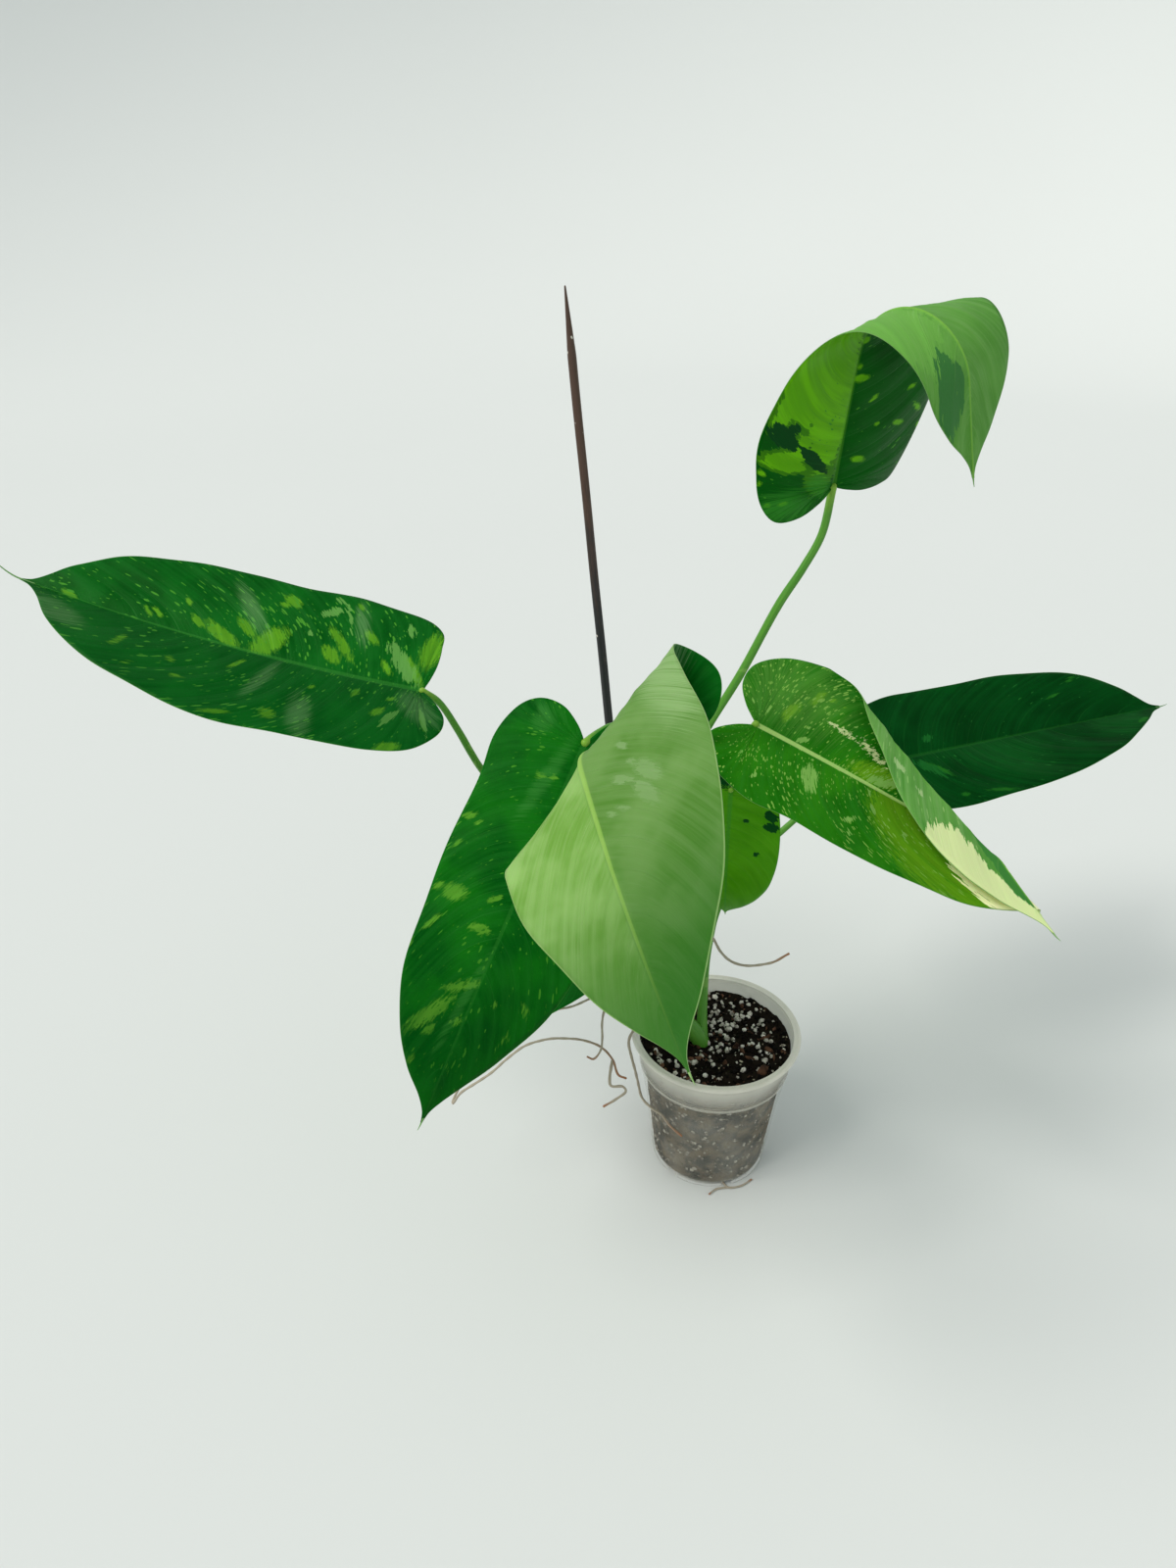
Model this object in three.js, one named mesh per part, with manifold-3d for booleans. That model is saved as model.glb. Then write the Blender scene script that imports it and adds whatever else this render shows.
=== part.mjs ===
// Potted philodendron with variegated leaves beside a stake, in a clear nursery pot.
// Millimetres, +Z up, +Y away from the viewer. The origin is the middle of the pot's flat base.
import * as THREE from "three";
import { mergeVertices } from "three/addons/utils/BufferGeometryUtils.js";
import Module from "manifold-3d";

const wasm = await Module();
wasm.setup();

const GAP = 0.3; // clearance left between neighbouring pieces

const POT = {
  height: 115,
  baseRadius: 42,
  rimRadius: 60, // outside of the rolled rim
  wall: 1.4,
  floor: 2,
  collarDrop: 28, // from the rim's top down to the step under the collar
  collarStep: 2,
  beadRadius: 1.8,
  slots: 6,
  slotWidth: 8,
  slotHeight: 6,
  slotInner: 34, // how near the axis a drain slot reaches
};

const SOIL = { level: 104, relief: 1.3, grains: 22, grainSize: [1.4, 2.6], seed: 7 };

// The stake's route bows a little where the leaves hide it
const STAKE = {
  route: [
    [-37, 6, 45], [-44.5, 8, 90], [-52, 10, 136], [-64.5, 13.5, 220],
    [-75.8, 15.8, 334], [-90.9, 15.8, 486], [-99.6, 15.8, 574],
  ],
  tip: [-102.4, 15.8, 603],
  radius: 2.6,
  pointRadius: 0.7,
};

const BLADE = {
  thickness: 0.9,
  ribDepth: 1.5, // how far the midrib stands out of the underside at the petiole
  petioleSeat: 0.8, // from the blade's middle surface down to the petiole's end
  clearance: 0.7, // how much a blade is fattened where the petioles are cut clear of it
  stationsAcross: [0, 0.06, 0.3, 0.56, 0.8, 1],
};

// Half outline of a heart-shaped blade from the petiole to the tip: [share of length, share of half width].
// A negative share of length is a share of the basal lobe's length.
const HALF_OUTLINE = [
  [0, 0], [-0.5, 0.15], [-0.93, 0.36], [-0.93, 0.6], [-0.35, 0.8], [0.06, 0.92], [0.18, 0.985], [0.34, 1],
  [0.5, 0.975], [0.66, 0.87], [0.79, 0.67], [0.88, 0.41], [0.935, 0.19], [0.97, 0.075], [1, 0.012],
];
// Places along the blade where a leaf may be fuller or narrower than the outline above
const FULLNESS_AT = [-0.5, 0, 0.2, 0.45, 0.7, 0.88, 1];

const radians = THREE.MathUtils.degToRad;
const clamp = THREE.MathUtils.clamp;

// Seeded random numbers in 0..1
function randomSource(seed) {
  let state = seed;
  return () => {
    state = (state * 16807) % 2147483647;
    return (state - 1) / 2147483646;
  };
}

function interpolate(x, places, values) {
  const last = places.length - 1;
  const i = clamp(places.findIndex((place) => place > x) - 1, 0, last - 1);
  const span = x >= places[last] ? last - 1 : i;
  const f = clamp((x - places[span]) / (places[span + 1] - places[span]), 0, 1);
  return values[span] * (1 - f) + values[span + 1] * f;
}

// Solids

function toSolid(geometry) {
  const bare = geometry.clone();
  bare.deleteAttribute("normal");
  bare.deleteAttribute("uv");
  const merged = mergeVertices(bare, 1e-4);
  const vertProperties = Float32Array.from(merged.attributes.position.array);
  const triVerts = Uint32Array.from(merged.index.array);
  return new wasm.Manifold(new wasm.Mesh({ numProp: 3, vertProperties, triVerts }));
}

// The largest body of a solid, without the scraps that a cut leaves
function largestBody(solid) {
  return solid.decompose().reduce((best, body) => (body.volume() > best.volume() ? body : best));
}

function toMesh(solid, name, material) {
  const { numProp, vertProperties, triVerts } = solid.getMesh();
  const geometry = new THREE.BufferGeometry();
  const positions = new Float32Array((vertProperties.length / numProp) * 3);
  for (let i = 0; i < positions.length / 3; i += 1) {
    positions.set(vertProperties.subarray(i * numProp, i * numProp + 3), i * 3);
  }
  geometry.setAttribute("position", new THREE.BufferAttribute(positions, 3));
  geometry.setIndex(Array.from(triVerts));
  geometry.computeVertexNormals();
  const mesh = new THREE.Mesh(geometry, material);
  mesh.name = name;
  return mesh;
}

function material(color, roughness) {
  return new THREE.MeshStandardMaterial({ color, roughness, metalness: 0 });
}

// A round rod that follows a smooth curve through the points. Its radius runs through the given values.
function rod(points, radii, rings, sides, extra = 0) {
  const curve = new THREE.CatmullRomCurve3(points.map((p) => new THREE.Vector3(...p)));
  const frames = curve.computeFrenetFrames(rings, false);
  const places = radii.map((_, i) => i / (radii.length - 1));
  const positions = [];
  for (let ring = 0; ring <= rings; ring += 1) {
    const centre = curve.getPointAt(ring / rings);
    const radius = interpolate(ring / rings, places, radii) + extra;
    for (let k = 0; k < sides; k += 1) {
      const turn = (2 * Math.PI * k) / sides;
      const spoke = frames.normals[ring].clone().multiplyScalar(Math.cos(turn) * radius);
      spoke.addScaledVector(frames.binormals[ring], Math.sin(turn) * radius);
      positions.push(...centre.clone().add(spoke).toArray());
    }
  }
  const first = positions.length / 3;
  positions.push(...curve.getPointAt(0).toArray(), ...curve.getPointAt(1).toArray());
  const faces = [];
  for (let k = 0; k < sides; k += 1) {
    const next = (k + 1) % sides;
    for (let ring = 0; ring < rings; ring += 1) {
      const a = ring * sides + k;
      const b = ring * sides + next;
      faces.push(a, b, b + sides, a, b + sides, a + sides);
    }
    faces.push(first, next, k, first + 1, rings * sides + k, rings * sides + next);
  }
  const geometry = new THREE.BufferGeometry();
  geometry.setAttribute("position", new THREE.Float32BufferAttribute(positions, 3));
  geometry.setIndex(faces);
  return toSolid(geometry);
}

// Blades
// A blade is worked out flat, with x from the petiole to the tip and y to the left of the midrib, both in
// millimetres. It is then bent in steps: sickle, keel and cup, fold, twist and droop.

const VEIN_LEAN = 0.55; // how far a side vein runs forward for each millimetre outwards
const FOOT_SPREAD = 0.03; // keeps the veins of the basal lobes apart where they meet the petiole
const PLAIN_LEAF = {
  sickle: 0, keel: 0, keelTip: 0, cup: 0, cupBase: 0, twist: 0, droop: 0, taperLeft: 0,
  taperRight: 0, point: 0, spread: 0, rows: 18,
  fullLeft: [1, 1, 1, 1, 1, 1, 1], fullRight: [1, 1, 1, 1, 1, 1, 1],
};

function splineAt(points, share) {
  const last = points.length - 1;
  const i = Math.min(Math.floor(share * last), last - 1);
  const f = share * last - i;
  const at = (k) => points[clamp(k, 0, last)];
  return [0, 1].map((axis) => {
    const [a, b, c, d] = [at(i - 1)[axis], at(i)[axis], at(i + 1)[axis], at(i + 2)[axis]];
    const [square, cube] = [2 * a - 5 * b + 4 * c - d, 3 * b - a - 3 * c + d];
    return 0.5 * (2 * b + (c - a) * f + square * f ** 2 + cube * f ** 3);
  });
}

// Points [margin x, margin y, vein foot x] along one half of the flat blade
function halfBlade(leaf, side) {
  const [half, lobe, taper, full] = side > 0
    ? [leaf.halfLeft, leaf.lobeLeft, leaf.taperLeft, leaf.fullLeft]
    : [leaf.halfRight, leaf.lobeRight, leaf.taperRight, leaf.fullRight];
  const outline = HALF_OUTLINE.map(([along, across]) => {
    const share = clamp(along, 0, 1);
    const slim = (1 - taper * Math.sin(Math.PI * share) * share)
      * (1 - leaf.point * clamp((share - 0.5) / 0.5, 0, 1) ** 2)
      * interpolate(along < 0 ? along / 2 : along, FULLNESS_AT, full);
    const opening = (along < 0 ? 1 : clamp(1 - share / 0.5, 0, 1) ** 2) * Math.min(across / 0.3, 1);
    const x = along < 0 ? along * lobe : along * leaf.length;
    return [x - leaf.spread * half * (across - 0.5) * opening, across * half * slim];
  });
  const soft = 0.03 * leaf.length;
  const foot = ([x, y]) => soft * Math.log1p(Math.exp((x - VEIN_LEAN * y) / soft));
  const start = foot(splineAt(outline, 0));
  const end = foot(splineAt(outline, 1));
  let reached = 0;
  return Array.from({ length: leaf.rows + 1 }, (_, row) => {
    const share = row / leaf.rows;
    const [x, y] = splineAt(outline, share);
    reached = Math.min(Math.max(reached, foot([x, y]) - start * (1 - share) ** 4), leaf.length);
    const stretch = (leaf.length - end) * clamp((share - 0.8) / 0.2, 0, 1) ** 2;
    const footX = reached + stretch + FOOT_SPREAD * leaf.length * share * (1 - share);
    return [x, y, footX];
  });
}

// Rolls what lies to the left of a line in the blade round that line, towards the upper face if radius > 0.
// cone is how much the radius shrinks for each 100 mm along the line.
function roll([x, y, z], fold) {
  const angle = radians(fold.direction);
  const [ax, ay] = [Math.cos(angle), Math.sin(angle)];
  const [dx, dy] = [x - fold.x, y - fold.y];
  const along = dx * ax + dy * ay;
  const beyond = dy * ax - dx * ay;
  if (beyond <= 0) return [x, y, z];
  const up = Math.sign(fold.radius);
  const radius = Math.max(Math.abs(fold.radius) * (1 - (fold.cone ?? 0) * along / 100), 3);
  const turn = Math.min(beyond / radius, radians(fold.turn));
  const flat = Math.max(beyond - radius * radians(fold.turn), 0);
  const out = (radius - up * z) * Math.sin(turn) + flat * Math.cos(turn);
  const raised = radius - (radius - up * z) * Math.cos(turn) + flat * Math.sin(turn);
  return [fold.x + along * ax - out * ay, fold.y + along * ay + out * ax, up * raised];
}

// The blade's own axes: along the midrib, to its left, and out of its upper face
function leafAxes(leaf) {
  const [heading, climb, lean] = [leaf.heading, leaf.climb, leaf.lean].map(radians);
  const along = new THREE.Vector3(
    Math.cos(climb) * Math.cos(heading), Math.cos(climb) * Math.sin(heading), Math.sin(climb));
  const level = new THREE.Vector3(-Math.sin(heading), Math.cos(heading), 0);
  const left = level.clone().multiplyScalar(Math.cos(lean));
  left.addScaledVector(along.clone().cross(level), Math.sin(lean));
  return { along, left, out: along.clone().cross(left) };
}

function bladePoint(leaf, axes, side, [marginX, marginY, footX], across) {
  const halfWidth = side > 0 ? leaf.halfLeft : leaf.halfRight;
  const x = footX + (marginX - footX) * across;
  const inward = marginY * across;
  const bend = leaf.sickle * leaf.length * clamp(x / leaf.length, -0.3, 1) ** 2;
  const keel = leaf.keel + leaf.keelTip * clamp((x / leaf.length - 0.25) / 0.75, 0, 1);
  const cup = leaf.cup + leaf.cupBase * clamp(1 - x / (0.5 * leaf.length), 0, 1.4);
  const dish = cup * halfWidth * (inward / halfWidth) ** 2;
  const height = Math.tan(radians(keel)) * inward + dish;
  let p = [x, side * inward + bend, height];
  if (leaf.fold) p = roll(p, leaf.fold);
  const twist = radians(leaf.twist) * clamp(p[0] / leaf.length, 0, 1);
  const [cos, sin] = [Math.cos(twist), Math.sin(twist)];
  p = [p[0], p[1] * cos - p[2] * sin, p[1] * sin + p[2] * cos];
  if (leaf.droop) {
    const radius = -leaf.length / radians(leaf.droop);
    p = roll(p, { x: 0, y: 0, direction: -90, radius, turn: Math.abs(leaf.droop) });
  }
  const place = new THREE.Vector3(...leaf.junction);
  place.addScaledVector(axes.along, p[0]);
  place.addScaledVector(axes.left, p[1]);
  return place.addScaledVector(axes.out, p[2]);
}

// A closed thin shell over the two halves of a blade, with the midrib standing out of its underside.
// extra thickens and widens it for cutting a clearance.
function bladeSolid(plan, extra = 0) {
  const leaf = { ...PLAIN_LEAF, ...plan };
  const axes = leafAxes(leaf);
  const stations = leaf.stations ?? BLADE.stationsAcross;
  const columns = stations.length - 1;
  const rows = leaf.rows;
  const points = [];
  const ribs = [];
  const id = (half, row, column) => {
    if (row === 0) return 0;
    return column === 0 ? row : rows + half * rows * columns + (row - 1) * columns + column;
  };
  [1, -1].forEach((side, half) => {
    halfBlade(leaf, side).forEach((vein, row) => stations.forEach((across, column) => {
      points[id(half, row, column)] = bladePoint(leaf, axes, side, vein, across);
      ribs[id(half, row, column)] = column === 0 ? BLADE.ribDepth * (1 - 0.8 * row / rows) : 0;
    }));
  });
  if (extra > 0) {
    points[0].addScaledVector(axes.along, -2 * extra);
    for (const half of [0, 1]) {
      for (let row = 1; row <= rows; row += 1) {
        const [edge, inner] = [columns, columns - 1].map((column) => points[id(half, row, column)]);
        edge.addScaledVector(edge.clone().sub(inner).normalize(), 2 * extra);
      }
    }
  }
  const faces = [];
  for (const half of [0, 1]) {
    const add = (a, b, c) => (half === 0 ? faces.push([a, b, c]) : faces.push([a, c, b]));
    for (let row = 0; row < rows; row += 1) {
      for (let column = 0; column < columns; column += 1) {
        const [a, b] = [id(half, row, column), id(half, row + 1, column)];
        const [c, d] = [id(half, row + 1, column + 1), id(half, row, column + 1)];
        add(a, b, c);
        if (row > 0) add(a, c, d);
      }
    }
  }
  const normals = points.map(() => new THREE.Vector3());
  for (const face of faces) {
    const [a, b, c] = face.map((k) => points[k]);
    const normal = b.clone().sub(a).cross(c.clone().sub(a));
    face.forEach((k) => normals[k].add(normal));
  }
  normals.forEach((normal) => normal.normalize());
  const lift = BLADE.thickness / 2 + extra;
  const upper = points.map((p, k) => p.clone().addScaledVector(normals[k], lift));
  const lower = points.map((p, k) => p.clone().addScaledVector(normals[k], -lift - ribs[k]));
  const positions = [...upper, ...lower].flatMap((p) => p.toArray());
  const index = [];
  const under = points.length;
  faces.forEach(([a, b, c]) => index.push(a, b, c, under + a, under + c, under + b));
  const rim = [0];
  for (let row = 1; row <= rows; row += 1) rim.push(id(1, row, columns));
  for (let column = columns - 1; column >= 0; column -= 1) rim.push(id(1, rows, column));
  for (let column = 1; column <= columns; column += 1) rim.push(id(0, rows, column));
  for (let row = rows - 1; row > 0; row -= 1) rim.push(id(0, row, columns));
  rim.forEach((a, k) => {
    const b = rim[(k + 1) % rim.length];
    index.push(a, under + b, b, a, under + a, under + b);
  });
  const geometry = new THREE.BufferGeometry();
  geometry.setAttribute("position", new THREE.Float32BufferAttribute(positions, 3));
  geometry.setIndex(index);
  return toSolid(geometry);
}

// The main stem comes out of the soil, creeps to the left and climbs beside the stake
const STEM = {
  route: [
    [-10, -1, 66], [-10, -1, 103], [-17, 2, 113], [-30, 4, 126],
    [-43, 3, 146], [-52, 0, 176], [-57, -1, 211], [-61, -2, 248],
  ],
  radii: [6, 6, 6.4, 6.2, 6, 6, 5.6, 3],
};

const LEAVES = {
  leaf_left: {
    color: "#1f6a23",
    junction: [-189, 0.5, 381.8], heading: 170.3, climb: 6.9, lean: -23,
    length: 258, halfLeft: 58.7, halfRight: 56.6, lobeLeft: 19.8, lobeRight: 4.1,
    keel: 8.3, keelTip: 12.6, cup: -0.05, cupBase: -0.02, sickle: -0.066, twist: -2.6,
    droop: -5.7, taperLeft: -0.02, taperRight: 0.14, point: 0.12, spread: -0.06,
    fullLeft: [0.95, 1, 0.91, 1.01, 0.96, 1.07, 1],
    fullRight: [0.93, 1, 1.03, 0.98, 1.01, 0.98, 1],
  },
  leaf_lower_left: {
    color: "#1b6a24",
    junction: [-92.3, -54.8, 377.2], heading: 238.2, climb: -41.2, lean: -22,
    length: 230.1, halfLeft: 50, halfRight: 55.3, lobeLeft: 27, lobeRight: 16.4,
    keel: -2.9, keelTip: -5.6, cup: -0.05, cupBase: -0.03, sickle: -0.009,
    twist: -13.7, droop: 23.2, taperRight: 0.32, point: 0.27, spread: -0.05,
    fullLeft: [0.98, 1, 1.06, 0.98, 0.99, 0.83, 1],
    fullRight: [1.04, 1, 0.88, 0.98, 1.12, 1.13, 1],
  },
  leaf_centre: {
    color: "#7cab55",
    junction: [-53.9, -135.6, 413.8], heading: 162.3, climb: -4.6, lean: -51.2,
    length: 225.8, halfLeft: 54.7, halfRight: 64.2, lobeLeft: 28.1, lobeRight: 24.6,
    keel: 5.4, keelTip: -13.7, cup: -0.07, cupBase: 0.08, sickle: -0.063, twist: 5.8,
    droop: -4.5, taperLeft: -0.01, taperRight: 0.05, point: 0.39, spread: -0.04,
    fullLeft: [0.95, 1, 1.04, 1.02, 0.83, 0.84, 1],
    fullRight: [1.09, 1, 1.02, 1.06, 1.03, 0.99, 1],
    fold: { x: 10.6, y: 0, direction: -117.9, radius: 17.7, turn: 147.6, cone: 0.01 },
    rows: 24, stations: [0, 0.05, 0.25, 0.5, 0.75, 1],
  },
  leaf_upper_right: {
    color: "#5d9440",
    junction: [41.6, 0.8, 504.3], heading: 111.3, climb: 96.9, lean: 11.1,
    length: 212.5, halfLeft: 54.9, halfRight: 58.3, lobeLeft: 15.1, lobeRight: 6.3,
    keel: 5.5, keelTip: -5.7, cup: 0.05, cupBase: -0.26, sickle: 0.019, twist: 4.6,
    droop: -9.6, taperLeft: 0.14, taperRight: 0.12, point: 0.26, spread: 0.03,
    fullLeft: [1.07, 1, 1.08, 0.67, 0.81, 0.98, 1],
    fullRight: [1.08, 1, 1.13, 1.05, 0.93, 1.04, 1],
    fold: { x: 70.6, y: 0, direction: -81.3, radius: 31.7, turn: 169.4, cone: 0.28 },
    rows: 24, stations: [0, 0.05, 0.25, 0.5, 0.75, 1],
  },
  leaf_right: {
    color: "#43872f",
    junction: [12.1, 11.5, 353.6], heading: -19, climb: -21.3, lean: 34.4,
    length: 221.9, halfLeft: 58.7, halfRight: 53.5, lobeLeft: 19.4, lobeRight: 23.1,
    keel: 5.5, keelTip: 10.9, cup: -0.01, cupBase: -0.02, sickle: -0.037, twist: -12.6,
    droop: 2.1, taperLeft: 0.03, taperRight: 0.03, point: 0.03, spread: -0.11,
    fullLeft: [0.99, 1, 1.04, 1.07, 1.09, 0.97, 1],
    fullRight: [0.96, 1, 0.9, 0.95, 1.04, 1.04, 1],
    fold: { x: 42.1, y: 48, direction: -25.5, radius: 7.8, turn: 147.2, cone: 0.46 },
    rows: 28, stations: [0, 0.05, 0.25, 0.45, 0.6, 0.75, 0.88, 1],
  },
  leaf_far_right: {
    color: "#1a5a20",
    junction: [104.7, 119.4, 259.3], heading: 9, climb: 8.2, lean: 26.3,
    length: 240.2, halfLeft: 52, halfRight: 50, lobeLeft: 18, lobeRight: 18,
    keel: 5, keelTip: 14.4, cup: -0.05, cupBase: 0.01, sickle: 0.013, twist: 1,
    droop: 4, taperLeft: -0.03, taperRight: -0.03, point: 0.12, spread: -0.06,
    fullLeft: [0.99, 1, 1.05, 0.97, 1, 1.06, 1],
    fullRight: [1.04, 1, 1, 0.98, 0.96, 1.01, 1],
  },
  leaf_small: {
    color: "#6fa636",
    junction: [-0.4, 8.7, 308.1], heading: -99.2, climb: -94, lean: 1.8,
    length: 139, halfLeft: 33.6, halfRight: 32.8, lobeLeft: 24.2, lobeRight: 41.1,
    keel: 0.2, sickle: 0.002, twist: -1.2,
    droop: 29.8, point: 0.1, spread: -0.09,
    fullLeft: [1, 1, 1, 0.99, 0.99, 0.98, 1],
    fullRight: [1, 1, 0.99, 0.98, 0.97, 1, 1],
  },
  leaf_behind: {
    color: "#1d5d24",
    junction: [-61, -26.1, 250.3], heading: 196.6, climb: -31.6, lean: -29.4,
    length: 143.7, halfLeft: 34.1, halfRight: 33.9, lobeLeft: 22, lobeRight: 22,
    keel: 6, droop: 14.3,
    point: 0.1,
  },
};

// Routes run from inside the stem towards the blade
const PETIOLES = {
  leaf_left: {
    route: [
      [-56, -1, 196], [-78, 4, 222], [-116, 1, 270], [-156, -3, 330], [-162, -2, 341], [-169, 0, 355],
      [-180, 3, 373],
    ],
    radii: [4, 2.8, 2.4, 2.2, 2.1],
  },
  leaf_lower_left: {
    route: [
      [-59, -2, 230], [-57, 2, 262], [-60, -11, 300], [-63, -21, 337], [-68, -26, 366],
      [-76, -35, 377], [-84, -44, 378],
    ],
    radii: [4, 2.8, 2.4, 2.4, 2.3],
  },
  leaf_centre: {
    route: [[-56, -1, 206], [-50, -20, 250], [-45, -60, 320], [-49, -108, 388]],
    radii: [4, 2.8, 2.5, 2.4],
  },
  leaf_upper_right: {
    route: [
      [-57, -1, 216], [-49, 5, 263], [-36, 0, 319], [-18, -4, 362], [-2, -4, 394], [18, -1, 438],
      [30, 2, 458], [39, 5, 476],
    ],
    radii: [4, 2.9, 2.5, 2.4, 2.2],
  },
  leaf_right: {
    route: [[-56, -1, 204], [-49, 15, 242], [-34, 30, 280], [-8, 31, 316], [8, 21, 340]],
    radii: [4, 2.7, 2.4, 2.3],
  },
  leaf_far_right: {
    route: [
      [-10, -1, 100], [-8, 20, 128], [-4, 44, 151], [5, 64, 176], [28, 84, 203], [53, 100, 218],
      [80, 110, 240],
    ],
    radii: [3.6, 3, 2.5, 2.3, 2.2],
  },
  leaf_small: {
    route: [[-57, -1, 212], [-44, 20, 232], [-20, 34, 266], [-5, 27, 295]],
    radii: [3.5, 2.2, 1.9, 1.8],
  },
  leaf_behind: {
    route: [[-54, -1, 190], [-58, -12, 206], [-60, -20, 226]],
    radii: [3.5, 2.3, 2, 1.9],
  },
};

// Aerial roots that left the stem, and roots that came out at the pot's foot
const ROOTS = {
  root_long_left: {
    routes: [
      [
        [-54, 0, 181], [-80, 2, 170], [-120, -6, 148], [-160, -14, 112], [-175, -22, 94], [-184, -34, 83],
        [-185, -38, 81], [-179, -35, 88], [-161, -30, 99], [-134, -19, 117], [-111, -16, 121],
        [-85, -22, 121],
        [-74, -31, 116], [-70, -40, 110], [-65, -42, 109],
      ],
      [
        [-74, -32, 115], [-76, -41, 108], [-75, -45, 105], [-67, -46, 105], [-65, -48, 103], [-72, -52, 99],
        [-80, -55, 96],
      ],
    ],
    radii: [1.1, 0.9, 0.8],
    rings: 30,
  },
  root_hook: {
    routes: [[
      [-52, 0, 174], [-66, -8, 162], [-79, -17, 149], [-81, -22, 141], [-81, -27, 131], [-82, -31, 124],
      [-87, -34, 119], [-91, -33, 120],
    ]],
    radii: [1, 0.7],
    rings: 16,
  },
  root_upper_left: {
    routes: [[[-51, 1, 171], [-70, -6, 164], [-88, -17, 159], [-101, -20, 154], [-116, -21, 151]]],
    radii: [1, 0.7],
    rings: 12,
  },
  root_right: {
    routes: [[
      [-54, 0, 190], [-30, 6, 206], [-8, 5, 195], [-1, -1, 186], [6, -4, 180], [14, -6, 178], [34, 0, 175],
      [47, 6, 178],
    ]],
    radii: [1.1, 0.8],
    rings: 18,
  },
  root_over_rim: {
    routes: [[
      [-38, 4, 138], [-50, -2, 128], [-58, -6, 120], [-62, -9, 112], [-59.5, -12, 98], [-55.5, -15, 81],
      [-52, -18, 66], [-44, -28, 64], [-39, -34, 66], [-33, -39, 60], [-25, -43.5, 55],
    ]],
    radii: [1.1, 0.8],
    rings: 24,
  },
  root_foot: {
    routes: [
      [[7, -36, 1.1], [11, -43, 1.1], [20, -42, 1.1], [29, -36, 1.1]],
      [[11, -43, 1.1], [2, -45, 1.1], [-3, -49, 1.1]],
    ],
    radii: [0.8, 0.6],
    rings: 8,
  },
};

// Pot

const taperRate = (POT.rimRadius - 2 * POT.beadRadius - POT.collarStep - POT.baseRadius) / POT.height;
const stepHeight = POT.height - POT.collarDrop;

// Outside radius of the pot's wall at a height, with the collar standing out above the step
function wallRadius(z) {
  return POT.baseRadius + taperRate * z + (z > stepHeight ? POT.collarStep : 0);
}

function turned(profile, segments) {
  const geometry = new THREE.LatheGeometry(profile.map(([r, z]) => new THREE.Vector2(r, z)), segments);
  geometry.rotateX(Math.PI / 2);
  return toSolid(geometry);
}

function potSolid() {
  const { height, wall, floor, beadRadius, baseRadius } = POT;
  const top = wallRadius(height) + 2 * beadRadius;
  const bead = [0, 0.25, 0.5, 0.75, 1].map((share) => {
    const turn = Math.PI * (share - 0.5);
    const [out, rise] = [beadRadius * Math.cos(turn), beadRadius * Math.sin(turn)];
    return [top - beadRadius + out, height - beadRadius + rise];
  });
  const outside = [[baseRadius - 1.2, 0], [baseRadius, 1.2], [wallRadius(stepHeight), stepHeight],
    [wallRadius(stepHeight + 1), stepHeight + 1]];
  const inside = [[wallRadius(height) - wall, height], [wallRadius(stepHeight + 1) - wall, stepHeight + 2],
    [wallRadius(stepHeight) - wall, stepHeight + 1], [baseRadius - wall, floor]];
  let pot = turned([[0, 0], ...outside, ...bead, ...inside, [0, floor]], 48);
  for (let k = 0; k < POT.slots; k += 1) {
    const length = baseRadius + 4 - POT.slotInner;
    const cutter = new THREE.BoxGeometry(length, POT.slotWidth, POT.slotHeight + 1);
    cutter.translate(POT.slotInner + length / 2, 0, (POT.slotHeight - 1) / 2);
    cutter.rotateZ((2 * Math.PI * (k + 0.75)) / POT.slots);
    pot = pot.subtract(toSolid(cutter));
  }
  return pot;
}

// Soil

// Height of the soil's rough surface above its mean level
function soilRelief(x, y) {
  const broad = Math.sin(0.21 * x + 1.3) * Math.cos(0.17 * y);
  const fine = Math.sin(0.43 * y - 0.31 * x);
  return SOIL.relief * (0.6 * broad + 0.4 * fine);
}

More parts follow.
